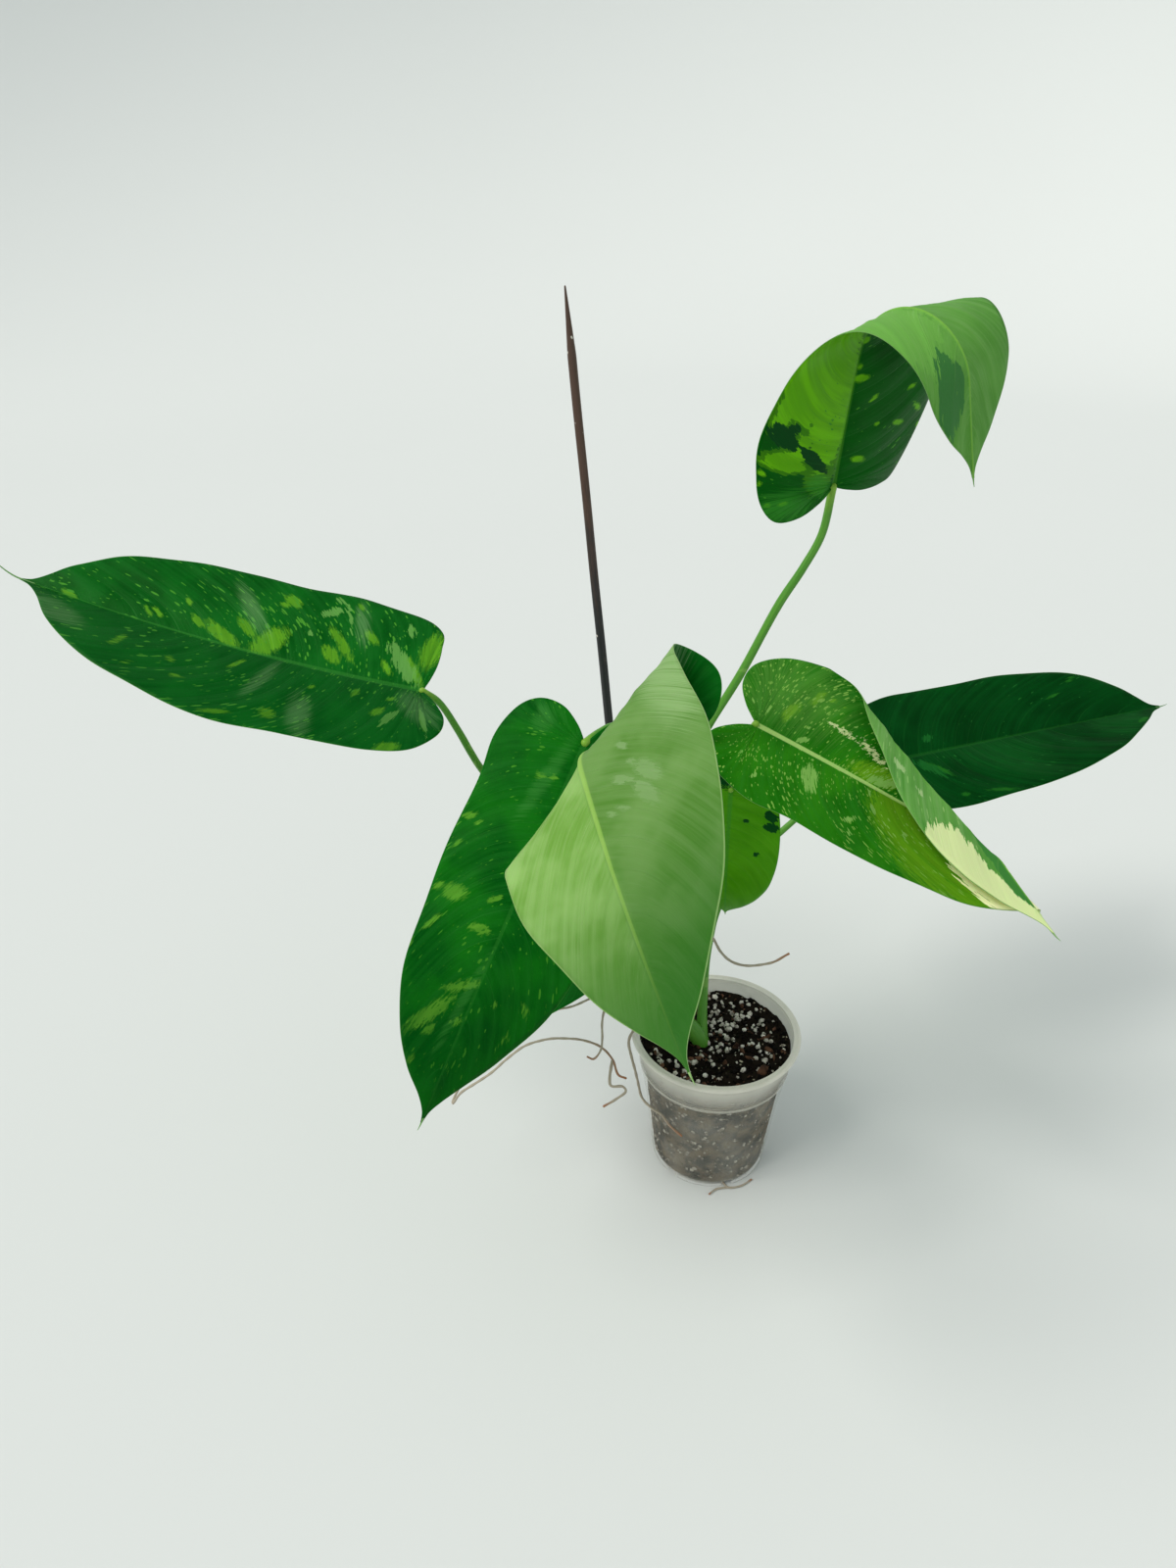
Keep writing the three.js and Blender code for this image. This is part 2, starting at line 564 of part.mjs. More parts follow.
function soilSolid(holes) {
  const rings = 5;
  const sectors = 30;
  const rim = wallRadius(SOIL.level) - POT.wall - GAP;
  const positions = [0, 0, SOIL.level + soilRelief(0, 0)];
  const profile = Array.from({ length: rings }, (_, i) => [(rim * (i + 1)) / rings, null]);
  profile.push([wallRadius(stepHeight + 1) - POT.wall - GAP, stepHeight + 2.5]);
  profile.push([wallRadius(stepHeight) - POT.wall - GAP, stepHeight + 1]);
  profile.push([POT.baseRadius - POT.wall - GAP, POT.floor + GAP]);
  for (const [radius, z] of profile) {
    for (let k = 0; k < sectors; k += 1) {
      const turn = (2 * Math.PI * k) / sectors;
      const [x, y] = [radius * Math.cos(turn), radius * Math.sin(turn)];
      positions.push(x, y, z ?? SOIL.level + soilRelief(x, y));
    }
  }
  positions.push(0, 0, POT.floor + GAP);
  const last = positions.length / 3 - 1;
  const faces = [];
  for (let k = 0; k < sectors; k += 1) {
    const next = (k + 1) % sectors;
    faces.push(0, 1 + k, 1 + next);
    for (let ring = 0; ring < profile.length - 1; ring += 1) {
      const [a, b] = [1 + ring * sectors + k, 1 + ring * sectors + next];
      faces.push(a, a + sectors, b + sectors, a, b + sectors, b);
    }
    const edge = 1 + (profile.length - 1) * sectors;
    faces.push(last, edge + next, edge + k);
  }
  const geometry = new THREE.BufferGeometry();
  geometry.setAttribute("position", new THREE.Float32BufferAttribute(positions, 3));
  geometry.setIndex(faces);
  let soil = toSolid(geometry);
  const random = randomSource(SOIL.seed);
  for (let k = 0; k < SOIL.grains; k += 1) {
    const reach = (rim - 5) * Math.sqrt(random());
    const turn = 2 * Math.PI * random();
    const size = SOIL.grainSize[0] + (SOIL.grainSize[1] - SOIL.grainSize[0]) * random();
    const [x, y] = [reach * Math.cos(turn), reach * Math.sin(turn)];
    const grain = new THREE.IcosahedronGeometry(size, 0);
    grain.rotateX(3 * random());
    grain.rotateZ(3 * random());
    grain.translate(x, y, SOIL.level + soilRelief(x, y) + 0.1 * size);
    soil = soil.add(toSolid(grain));
  }
  for (const hole of holes) soil = soil.subtract(hole);
  return largestBody(soil);
}

// Stem, petioles and roots

const stemSolid = (extra) => rod(STEM.route, STEM.radii, 20, 10, extra);

// A petiole runs from inside the stem to the underside of its blade at the sinus
function petioleSolid(name, extra) {
  const { route, radii } = PETIOLES[name];
  const leaf = LEAVES[name];
  const seat = new THREE.Vector3(...leaf.junction).addScaledVector(leafAxes(leaf).out, -BLADE.petioleSeat);
  return rod([...route, seat.toArray()], radii, 2 * route.length + 2, 7, extra);
}

// Everything green that grew as one piece, cut clear of the blades
function plantBody() {
  let body = stemSolid(0);
  for (const name of Object.keys(PETIOLES)) body = body.add(petioleSolid(name, 0));
  for (const name of Object.keys(LEAVES)) body = body.subtract(bladeSolid(LEAVES[name], BLADE.clearance));
  return largestBody(body);
}

// A root with its branches, cut clear of the stem that it grew from
function rootSolid({ routes, radii, rings }, stemClearance) {
  const parts = routes.map((route) => rod(route, radii, rings, 5));
  const root = parts.reduce((whole, part) => whole.add(part));
  return largestBody(root.subtract(stemClearance));
}

function stakeSolid(extra = 0) {
  const shoulder = STAKE.route.at(-1);
  const shaft = rod(STAKE.route, [STAKE.radius, STAKE.radius], 14, 10, extra);
  return shaft.add(rod([shoulder, STAKE.tip], [STAKE.radius, STAKE.pointRadius], 1, 10, extra));
}

const plant = new THREE.Group();
const stake = stakeSolid();
const body = plantBody();
const clearance = stemSolid(GAP).add(petioleSolid("leaf_far_right", GAP));
plant.add(toMesh(potSolid(), "pot", material("#cfd3c8", 0.35)));
plant.add(toMesh(soilSolid([stakeSolid(GAP), clearance]), "soil", material("#2a221d", 0.95)));
plant.add(toMesh(stake, "stake", material("#1d1b1a", 0.5)));
plant.add(toMesh(body, "stem_and_petioles", material("#4f8a2c", 0.4)));
for (const [name, leaf] of Object.entries(LEAVES)) {
  plant.add(toMesh(bladeSolid(leaf), name, material(leaf.color, 0.35)));
}
for (const [name, root] of Object.entries(ROOTS)) {
  plant.add(toMesh(rootSolid(root, clearance), name, material("#a58d6c", 0.7)));
}

export default plant;
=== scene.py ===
"""Looks of a potted philodendron with variegated leaves beside a stake, in a clear nursery pot.

Lengths in the tables are millimetres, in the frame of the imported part: +Z up, +Y away from the viewer,
and the origin in the middle of the pot's flat base. Meshes are written in metres.
"""
import math

import bmesh
import bpy
import numpy as np
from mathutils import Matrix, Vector


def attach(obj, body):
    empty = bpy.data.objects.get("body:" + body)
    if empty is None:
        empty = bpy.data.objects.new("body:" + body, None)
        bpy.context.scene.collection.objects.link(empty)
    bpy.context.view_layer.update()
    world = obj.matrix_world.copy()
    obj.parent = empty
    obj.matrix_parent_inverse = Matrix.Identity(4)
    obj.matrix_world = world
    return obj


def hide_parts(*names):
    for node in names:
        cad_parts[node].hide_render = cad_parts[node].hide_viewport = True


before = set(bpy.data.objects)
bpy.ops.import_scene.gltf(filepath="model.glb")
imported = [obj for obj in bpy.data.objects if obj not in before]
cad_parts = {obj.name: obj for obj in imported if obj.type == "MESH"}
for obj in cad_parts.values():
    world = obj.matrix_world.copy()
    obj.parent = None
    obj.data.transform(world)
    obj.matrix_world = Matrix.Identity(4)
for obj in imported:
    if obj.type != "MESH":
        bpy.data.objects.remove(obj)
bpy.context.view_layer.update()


# Shader tools

def linear(code):
    """Turns an sRGB hex colour into the linear values that shaders use."""
    parts = np.array([int(code[i:i + 2], 16) / 255 for i in (1, 3, 5)])
    flat = np.where(parts <= 0.04045, parts / 12.92, ((parts + 0.055) / 1.055) ** 2.4)
    return (*flat.tolist(), 1.0)


def add(tree, kind, inputs=None, out=0, **settings):
    """Adds a shader node and gives its output socket out. settings set the node's properties.
    inputs hold numbers, hex colours, or other nodes' sockets to link."""
    made = tree.nodes.new("ShaderNode" + kind)
    for name, value in settings.items():
        setattr(made, name, value)
    for key, value in (inputs or {}).items():
        if isinstance(value, bpy.types.NodeSocket):
            tree.links.new(value, made.inputs[key])
        else:
            made.inputs[key].default_value = linear(value) if isinstance(value, str) else value
    return made.outputs[out] if len(made.outputs) else made


def paint(tree, colour, layers, blend="LINEAR"):
    """Lays colours over a ground colour. A layer is a value, where it starts and ends to show, how strongly
    it shows, and its colour. blend says how it comes in between start and end."""
    for value, start, end, strength, above in layers:
        share = add(tree, "MapRange", {0: value, 1: start, 2: end, 4: strength}, interpolation_type=blend)
        colour = add(tree, "Mix", {0: share, 6: colour, 7: above}, out=2, data_type="RGBA")
    return colour


def make_material(name, surface, *details):
    """A material whose Principled BSDF has the inputs that surface(tree, *details) gives."""
    material = bpy.data.materials.new(name)
    material.use_nodes = True
    tree = material.node_tree
    tree.nodes.clear()
    shader = add(tree, "BsdfPrincipled", surface(tree, *details))
    add(tree, "OutputMaterial", {"Surface": shader})
    return material


# Mesh tools

def grid_faces(rows, columns):
    """Quads of a grid of rows x columns points. Each looks along (row step) x (column step)."""
    i, j = np.meshgrid(np.arange(rows - 1), np.arange(columns - 1), indexing="ij")
    corner = i * columns + j
    return np.stack([corner, corner + columns, corner + columns + 1, corner + 1], -1).reshape(-1, 4)


def vertex_normals(points, faces):
    """Mean of the faces' normals at each point."""
    a, b, c, d = (points[faces[:, k]] for k in range(4))
    facing = np.cross(c - a, d - b)
    normals = np.zeros_like(points)
    for k in range(4):
        np.add.at(normals, faces[:, k], facing)
    return normals / np.maximum(np.linalg.norm(normals, axis=1, keepdims=True), 1e-12)


def new_object(name, data):
    """An object of the scene that holds data."""
    made = bpy.data.objects.new(name, data)
    bpy.context.scene.collection.objects.link(made)
    return made


def make_mesh(name, points, faces, materials, uvs=None, values=None, slots=None, merge=0.002):
    """A smooth mesh object. points are millimetres, uvs and values are given for each point, and slots for
    each face. Points nearer than merge are joined, which closes seams and poles."""
    mesh = bpy.data.meshes.new(name)
    mesh.from_pydata((points * 0.001).tolist(), [], faces.tolist())
    corners = np.empty(len(mesh.loops), dtype=np.int32)
    mesh.loops.foreach_get("vertex_index", corners)
    for key, flat in (uvs or {}).items():
        layer = mesh.uv_layers.new(name=key)
        layer.data.foreach_set("uv", flat[corners].astype(np.float32).ravel())
    for key, value in (values or {}).items():
        layer = mesh.attributes.new(key, "FLOAT", "POINT")
        layer.data.foreach_set("value", value.astype(np.float32))
    if slots is not None:
        mesh.polygons.foreach_set("material_index", slots.astype(np.int32))
    mesh.polygons.foreach_set("use_smooth", np.ones(len(faces), dtype=bool))
    for material in materials:
        mesh.materials.append(material)
    if merge:
        work = bmesh.new()
        work.from_mesh(mesh)
        bmesh.ops.remove_doubles(work, verts=work.verts, dist=merge * 0.001)
        work.to_mesh(mesh)
        work.free()
    mesh.validate()
    return new_object(name, mesh)


def make_piece(name, node, *shape, whole=True, **settings):
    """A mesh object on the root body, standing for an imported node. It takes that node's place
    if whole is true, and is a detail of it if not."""
    piece = make_mesh(name, *shape, **settings)
    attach(piece, "root")
    if whole:
        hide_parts(node)
    return piece


def smooth_path(points, count):
    """A cubic curve through the points, at count places evenly along its length. Between two points its
    parameter runs by the square root of their distance, and its slope at a point follows from the two
    neighbours."""
    p = np.asarray(points, float)
    p = np.vstack([2 * p[0] - p[1], p, 2 * p[-1] - p[-2]])
    gap = np.sqrt(np.linalg.norm(np.diff(p, axis=0), axis=1))[:, None]
    before, here, after = gap[:-2], gap[1:-1], gap[2:]
    a, b, c, d = p[:-3], p[1:-2], p[2:-1], p[3:]
    start = here * ((b - a) / before - (c - a) / (before + here) + (c - b) / here)
    end = here * ((c - b) / here - (d - b) / (here + after) + (d - c) / after)
    f = np.linspace(0, 1, 60)[None, :, None]
    b, c, start, end = (q[:, None, :] for q in (b, c, start, end))
    fine = b + start * f + (3 * (c - b) - 2 * start - end) * f ** 2 + (2 * (b - c) + start + end) * f ** 3
    fine = fine.reshape(-1, 3)
    along = np.concatenate([[0], np.cumsum(np.linalg.norm(np.diff(fine, axis=0), axis=1))])
    places = np.linspace(0, along[-1], count)
    return np.stack([np.interp(places, along, fine[:, k]) for k in range(3)], -1), places


DOME = np.array([1.0, 0.92, 0.7, 0.38, 0.0])  # radii of the rings of a rod's round end, as shares


def tube(route, radius, count, sides):
    """A round rod along a route: centre + radius(share, turn) * (across cos turn + over sin turn).
    radius is a function of the share 0..1 of the length and of the turn. Both ends are domes.
    Gives points, faces, a uv of (millimetres along, turn 0..1) and the share of each point."""
    centre, along = smooth_path(route, count)
    tangent = np.gradient(centre, axis=0)
    tangent /= np.linalg.norm(tangent, axis=1, keepdims=True)
    across = np.zeros_like(centre)
    guide = np.cross(tangent[0], np.eye(3)[np.argmin(np.abs(tangent[0]))])
    for k, line in enumerate(tangent):
        guide = guide - line * (guide @ line)
        guide /= np.linalg.norm(guide)
        across[k] = guide
    over = np.cross(tangent, across)
    share = along / along[-1]
    turn = np.linspace(0, 2 * np.pi, sides + 1)[None, :]
    size = radius(share[:, None], turn) * np.ones_like(turn)
    ends = np.mean(size[[0, -1]], axis=1)
    rise = np.sqrt(1 - DOME ** 2)
    head = centre[0] - tangent[0] * (rise[::-1] * ends[0])[:, None]
    tail = centre[-1] + tangent[-1] * (rise * ends[1])[:, None]
    centre = np.vstack([head, centre[1:-1], tail])
    domed = len(DOME)
    repeat = [0] * domed + list(range(1, count - 1)) + [count - 1] * domed
    size, across, over, share, along = (a[repeat] for a in (size, across, over, share, along))
    size[:domed] *= DOME[::-1, None]
    size[-domed:] *= DOME[:, None]
    spokes = across[:, None, :] * np.cos(turn)[..., None] + over[:, None, :] * np.sin(turn)[..., None]
    points = centre[:, None, :] + spokes * size[..., None]
    uv = np.stack(np.broadcast_arrays(along[:, None], turn / (2 * np.pi)), -1)
    faces = grid_faces(len(centre), sides + 1)[:, ::-1]
    return points.reshape(-1, 3), faces, uv.reshape(-1, 2), np.repeat(share, sides + 1)


def radius_rule(radii, base=0.0, wobble=0.0, beat=1.0):
    """Radius along a rod: the given values evenly spaced, wider by base over the first tenth, and lumpy by
    wobble times two waves, beat and 2.3 beat radians long over the rod."""
    places = np.linspace(0, 1, len(radii))

    def radius(share, turn):
        size = np.interp(share, places, radii) * (1 + base * np.exp(-(share / 0.06) ** 2))
        lumps = np.sin(beat * share + turn) + np.sin(2.3 * beat * share - 2 * turn + 1)
        return size * (1 + wobble * lumps)
    return radius


def join(parts):
    """Joins lists of (points, faces, uv, value) into one set of arrays."""
    points, faces, uvs, values = zip(*parts)
    starts = np.cumsum([0, *(len(p) for p in points[:-1])])
    faces = [f + start for f, start in zip(faces, starts)]
    return np.vstack(points), np.vstack(faces), np.vstack(uvs), np.concatenate(values)


def make_rods(name, node, rods, skin):
    """One piece made of rods, with the uv run and, as the value tone, the share of each rod's length."""
    points, faces, uv, share = join(rods)
    make_piece(name, node, points, faces, [skin], uvs={"run": uv}, values={"tone": share})


# Leaf blades
# A blade is worked out flat, with x from the petiole to the tip and y to the left of the midrib. It is
# then bent in steps: sickle, keel and cup, ripples, fold, twist and droop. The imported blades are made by
# the same formulas on a coarser grid.

OUTLINE = np.array([
    (0, 0), (-0.5, 0.15), (-0.93, 0.36), (-0.93, 0.6), (-0.35, 0.8), (0.06, 0.92), (0.18, 0.985), (0.34, 1),
    (0.5, 0.975), (0.66, 0.87), (0.79, 0.67), (0.88, 0.41), (0.935, 0.175), (0.97, 0.055), (1, 0.012),
])
FULLNESS_AT = (-0.5, 0, 0.2, 0.45, 0.7, 0.88, 1)
EVEN = (1,) * len(FULLNESS_AT)
VEIN_LEAN = (0.35, 1.0, 1.8)
ROWS, COLUMNS = 210, 42  # steps along a blade, and from its midrib to its margin
SIDE_VEINS = 15.0  # millimetres of margin from one side vein to the next
MARGIN_WAVE, RIPPLE_WAVE = 34, 46  # length of the margin's waves and of the ripples in the blade
FURROW = 0.45  # how deep the side veins lie below the blade between them
HALF_THICKNESS, MARGIN_THINNING = 0.42, 0.24
GROOVE, RIB, RIB_BREADTH, RIB_TAPER = 0.35, 1.5, 2.1, 1.6  # midrib: depth above, height below, half width

PLAIN_LEAF = dict(
    sickle=0, keel=0, keelTip=0, cup=0, cupBase=0, twist=0, droop=0, taperLeft=0, taperRight=0, point=0,
    spread=0, fullLeft=EVEN, fullRight=EVEN, fold=None, thread=(6, 1))

LEAVES = {
    "leaf_left": dict(
        junction=(-189, 0.5, 381.8), heading=170.3, climb=6.9, lean=-23, length=258, halfLeft=58.7,
        halfRight=56.6, lobeLeft=19.8, lobeRight=4.1, keel=8.3, keelTip=12.6, cup=-0.05, cupBase=-0.02,
        sickle=-0.066, twist=-2.6, droop=-5.7, taperLeft=-0.02, taperRight=0.14, point=0.12, spread=-0.06,
        fullLeft=(0.95, 1, 0.91, 1.01, 0.96, 1.07, 1), fullRight=(0.93, 1, 1.03, 0.98, 1.01, 0.98, 1),
        thread=(24, 13)),
    "leaf_lower_left": dict(
        junction=(-92.3, -54.8, 377.2), heading=238.2, climb=-41.2, lean=-22, length=230.1, halfLeft=50,
        halfRight=55.3, lobeLeft=27, lobeRight=16.4, keel=-2.9, keelTip=-5.6, cup=-0.05, cupBase=-0.03,
        sickle=-0.009, twist=-13.7, droop=23.2, taperRight=0.32, point=0.27, spread=-0.05,
        fullLeft=(0.98, 1, 1.06, 0.98, 0.99, 0.83, 1), fullRight=(1.04, 1, 0.88, 0.98, 1.12, 1.13, 1)),
    "leaf_centre": dict(
        junction=(-53.9, -135.6, 413.8), heading=162.3, climb=-4.6, lean=-51.2, length=225.8, halfLeft=54.7,
        halfRight=64.2, lobeLeft=28.1, lobeRight=24.6, keel=5.4, keelTip=-13.7, cup=-0.07, cupBase=0.08,
        sickle=-0.063, twist=5.8, droop=-4.5, taperLeft=-0.01, taperRight=0.05, point=0.39, spread=-0.04,
        fullLeft=(0.95, 1, 1.04, 1.02, 0.83, 0.84, 1), fullRight=(1.09, 1, 1.02, 1.06, 1.03, 0.99, 1),
        fold=dict(x=10.6, y=0, direction=-117.9, radius=17.7, turn=147.6, cone=0.01)),
    "leaf_upper_right": dict(
        junction=(41.6, 0.8, 504.3), heading=111.3, climb=96.9, lean=11.1, length=212.5, halfLeft=54.9,
        halfRight=58.3, lobeLeft=15.1, lobeRight=6.3, keel=5.5, keelTip=-5.7, cup=0.05, cupBase=-0.26,
        sickle=0.019, twist=4.6, droop=-9.6, taperLeft=0.14, taperRight=0.12, point=0.26, spread=0.03,
        fullLeft=(1.07, 1, 1.08, 0.67, 0.81, 0.98, 1), fullRight=(1.08, 1, 1.13, 1.05, 0.93, 1.04, 1),
        fold=dict(x=70.6, y=0, direction=-81.3, radius=31.7, turn=169.4, cone=0.28)),
    "leaf_right": dict(
        junction=(12.1, 11.5, 353.6), heading=-19, climb=-21.3, lean=34.4, length=221.9, halfLeft=58.7,
        halfRight=53.5, lobeLeft=19.4, lobeRight=23.1, keel=5.5, keelTip=10.9, cup=-0.01, cupBase=-0.02,
        sickle=-0.037, twist=-12.6, droop=2.1, taperLeft=0.03, taperRight=0.03, point=0.03, spread=-0.11,
        fullLeft=(0.99, 1, 1.04, 1.07, 1.09, 0.97, 1), fullRight=(0.96, 1, 0.9, 0.95, 1.04, 1.04, 1),
        fold=dict(x=42.1, y=48, direction=-25.5, radius=7.8, turn=147.2, cone=0.46)),
    "leaf_far_right": dict(
        junction=(104.7, 119.4, 259.3), heading=9, climb=8.2, lean=26.3, length=240.2, halfLeft=52,
        halfRight=50, lobeLeft=18, lobeRight=18, keel=5, keelTip=14.4, cup=-0.05, cupBase=0.01, sickle=0.013,
        twist=1, droop=4, taperLeft=-0.03, taperRight=-0.03, point=0.12, spread=-0.06,
        fullLeft=(0.99, 1, 1.05, 0.97, 1, 1.06, 1.5), fullRight=(1.04, 1, 1, 0.98, 0.96, 1.05, 1.8)),
    "leaf_small": dict(
        junction=(-0.4, 8.7, 308.1), heading=-99.2, climb=-94, lean=1.8, length=139, halfLeft=33.6,
        halfRight=32.8, lobeLeft=24.2, lobeRight=41.1, keel=0.2, sickle=0.002, twist=-1.2, droop=29.8,
        point=0.1, spread=-0.09,
        fullLeft=(1, 1, 1, 0.99, 0.99, 0.98, 1), fullRight=(1, 1, 0.99, 0.98, 0.97, 1, 1)),
    "leaf_behind": dict(
        junction=(-61, -26.1, 250.3), heading=196.6, climb=-31.6, lean=-29.4, length=143.7, halfLeft=34.1,
        halfRight=33.9, lobeLeft=22, lobeRight=22, keel=6, droop=14.3, point=0.1),
}


def spline_at(points, share):
    """A cubic curve through the points at shares 0..1, with its ends held. Its slope at a point is half the
    step from the point before to the point after."""
    last = len(points) - 1
    i = np.minimum((share * last).astype(int), last - 1)
    f = (share * last - i)[:, None]
    a, b, c, d = (points[np.clip(i + k, 0, last)] for k in (-1, 0, 1, 2))
    bend, twist = 2 * a - 5 * b + 4 * c - d, 3 * b - a - 3 * c + d
    return 0.5 * (2 * b + (c - a) * f + bend * f ** 2 + twist * f ** 3)


def half_blade(leaf, side):
    """Margin points and vein feet of one half. The margin is OUTLINE scaled by the length, the half width
    and the leaf's fullness, with waves of 1.2% of the width. A vein's foot is where a line from the margin
    meets the midrib. The line leans back by a + b s + c s^3 at the share s of the length, with VEIN_LEAN =
    (a, b, c). Feet are softened near the petiole and kept in order by a running maximum."""
    half, lobe, taper, full = (leaf[key + ("Left" if side > 0 else "Right")]
                               for key in ("half", "lobe", "taper", "full"))
    length = leaf["length"]
    along, across = OUTLINE.T
    share = np.clip(along, 0, 1)
    slim = 1 - taper * np.sin(np.pi * share) * share
    slim = slim * (1 - leaf["point"] * np.clip(share * 2 - 1, 0, 1) ** 2)
    slim = slim * np.interp(np.where(along < 0, along / 2, along), FULLNESS_AT, full)
    opening = np.where(along < 0, 1, np.clip(1 - share * 2, 0, 1) ** 2) * np.minimum(across / 0.3, 1)
    x = np.where(along < 0, along * lobe, along * length) - leaf["spread"] * half * (across - 0.5) * opening
    outline = np.stack([x, across * half * slim], -1)
    share = np.linspace(0, 1, ROWS + 1)
    margin = spline_at(outline, share)
    wavy = np.sin(2 * np.pi * share * length / MARGIN_WAVE + side) * np.sin(np.pi * share) ** 2
    margin[:, 1] *= 1 + 0.012 * wavy
    soft = 0.03 * length
    place = np.clip(margin[:, 0] / length, 0, 1)
    lean = VEIN_LEAN[0] + VEIN_LEAN[1] * place + VEIN_LEAN[2] * place ** 3
    foot = soft * np.log1p(np.exp((margin[:, 0] - lean * margin[:, 1]) / soft))
    reached = np.minimum(np.maximum.accumulate(np.maximum(foot - foot[0] * (1 - share) ** 4, 0)), length)
    stretch = (length - foot[-1]) * np.clip((share - 0.8) / 0.2, 0, 1) ** 2
    return margin, reached + stretch + 0.03 * length * share * (1 - share)


def roll(p, fold):
    """Rolls what lies to the left of a line round it: a point at distance d beyond the line goes to
    (radius sin(d / radius), radius - radius cos(d / radius)), and on straight after the whole turn."""
    angle = math.radians(fold["direction"])
    ax, ay = math.cos(angle), math.sin(angle)
    dx, dy, z = p[..., 0] - fold["x"], p[..., 1] - fold["y"], p[..., 2]
    along, beyond = dx * ax + dy * ay, dy * ax - dx * ay
    up = math.copysign(1, fold["radius"])
    radius = np.maximum(abs(fold["radius"]) * (1 - fold.get("cone", 0) * along / 100), 3)
    whole = math.radians(fold["turn"])
    turn = np.minimum(beyond / radius, whole)
    flat = np.maximum(beyond - radius * whole, 0)
    out = (radius - up * z) * np.sin(turn) + flat * np.cos(turn)
    raised = radius - (radius - up * z) * np.cos(turn) + flat * np.sin(turn)
    rolled = np.stack([fold["x"] + along * ax - out * ay, fold["y"] + along * ay + out * ax,
                       up * raised], -1)
    return np.where((beyond > 0)[..., None], rolled, p)


def blade_surface(leaf):
    """Middle surface of a blade on a grid of veins by steps across, from the right margin to the left.
    A vein runs from its foot to the margin by 0.35 t + 0.65 t^3, almost square to the midrib at first and
    then bending towards the tip. The blade ripples by up to 0.4 mm either way and is furrowed along the
    side veins by FURROW |sin|^0.7.
    Gives the points, the flat x and y, the vein number in centimetres of margin, and the share across."""
    halves, feet = {}, {}
    for side in (1, -1):
        halves[side], feet[side] = half_blade(leaf, side)
    foot = (feet[1] + feet[-1]) / 2
    steps = np.linspace(0, 1, COLUMNS + 1) ** 1.5
    xs, ys, veins, shares = [], [], [], []
    for side in (-1, 1):
        margin = halves[side]
        t = steps[None, :] if side > 0 else steps[None, ::-1]
        xs.append(foot[:, None] + (margin[:, :1] - foot[:, None]) * (0.35 * t + 0.65 * t ** 3))
        ys.append(margin[:, 1:] * t * side)
        run = np.concatenate([[0], np.cumsum(np.linalg.norm(np.diff(margin, axis=0), axis=1))]) / 10
        veins.append(np.broadcast_to(run[:, None], xs[-1].shape))
        shares.append(np.broadcast_to(t * side, xs[-1].shape))
    x, y, vein, across = (np.hstack([a[:, :-1], b]) for a, b in (xs, ys, veins, shares))
    length = leaf["length"]
    half = np.where(y > 0, leaf["halfLeft"], leaf["halfRight"])
    keel = leaf["keel"] + leaf["keelTip"] * np.clip((x / length - 0.25) / 0.75, 0, 1)
    cup = leaf["cup"] + leaf["cupBase"] * np.clip(1 - x / (0.5 * length), 0, 1.4)
    inward = np.abs(y)
    height = np.tan(np.radians(keel)) * inward + cup * half * (inward / half) ** 2
    swell = np.abs(across) * (1 - across ** 2) + 0.35 * across ** 4
    height += swell * np.sin(2 * np.pi * vein / (RIPPLE_WAVE / 10) + np.sign(y))
    furrow = np.abs(np.sin(np.pi * vein * 10 / SIDE_VEINS))
    height += FURROW * furrow ** 0.7 * np.minimum(inward / 8, 1) * (1 - across ** 4)
    p = np.stack([x, y + leaf["sickle"] * length * np.clip(x / length, -0.3, 1) ** 2, height], -1)
    if leaf["fold"]:
        p = roll(p, leaf["fold"])
    twist = math.radians(leaf["twist"]) * np.clip(p[..., 0] / length, 0, 1)
    p = np.stack([p[..., 0], p[..., 1] * np.cos(twist) - p[..., 2] * np.sin(twist),
                  p[..., 1] * np.sin(twist) + p[..., 2] * np.cos(twist)], -1)
    if leaf["droop"]:
        radius = -length / math.radians(leaf["droop"])
        p = roll(p, dict(x=0, y=0, direction=-90, radius=radius, turn=abs(leaf["droop"])))
    heading, climb, lean = (math.radians(leaf[key]) for key in ("heading", "climb", "lean"))
    ahead, aside = math.cos(heading), math.sin(heading)
    along = np.array([math.cos(climb) * ahead, math.cos(climb) * aside, math.sin(climb)])
    level = np.array([-aside, ahead, 0])
    left = level * math.cos(lean) + np.cross(along, level) * math.sin(lean)
    out = np.cross(along, left)
    return np.array(leaf["junction"]) + p @ np.stack([along, left, out]), x, y, vein, across


# How low each kind of patch falls away from its places, so that its ragged edge starts no patch there
PATCH_FLOORS = {"pale": -1.7, "sage": -1.5, "deep": -1.5, "cream": -1.5, "mist": -2.0, "scar": -3.5}
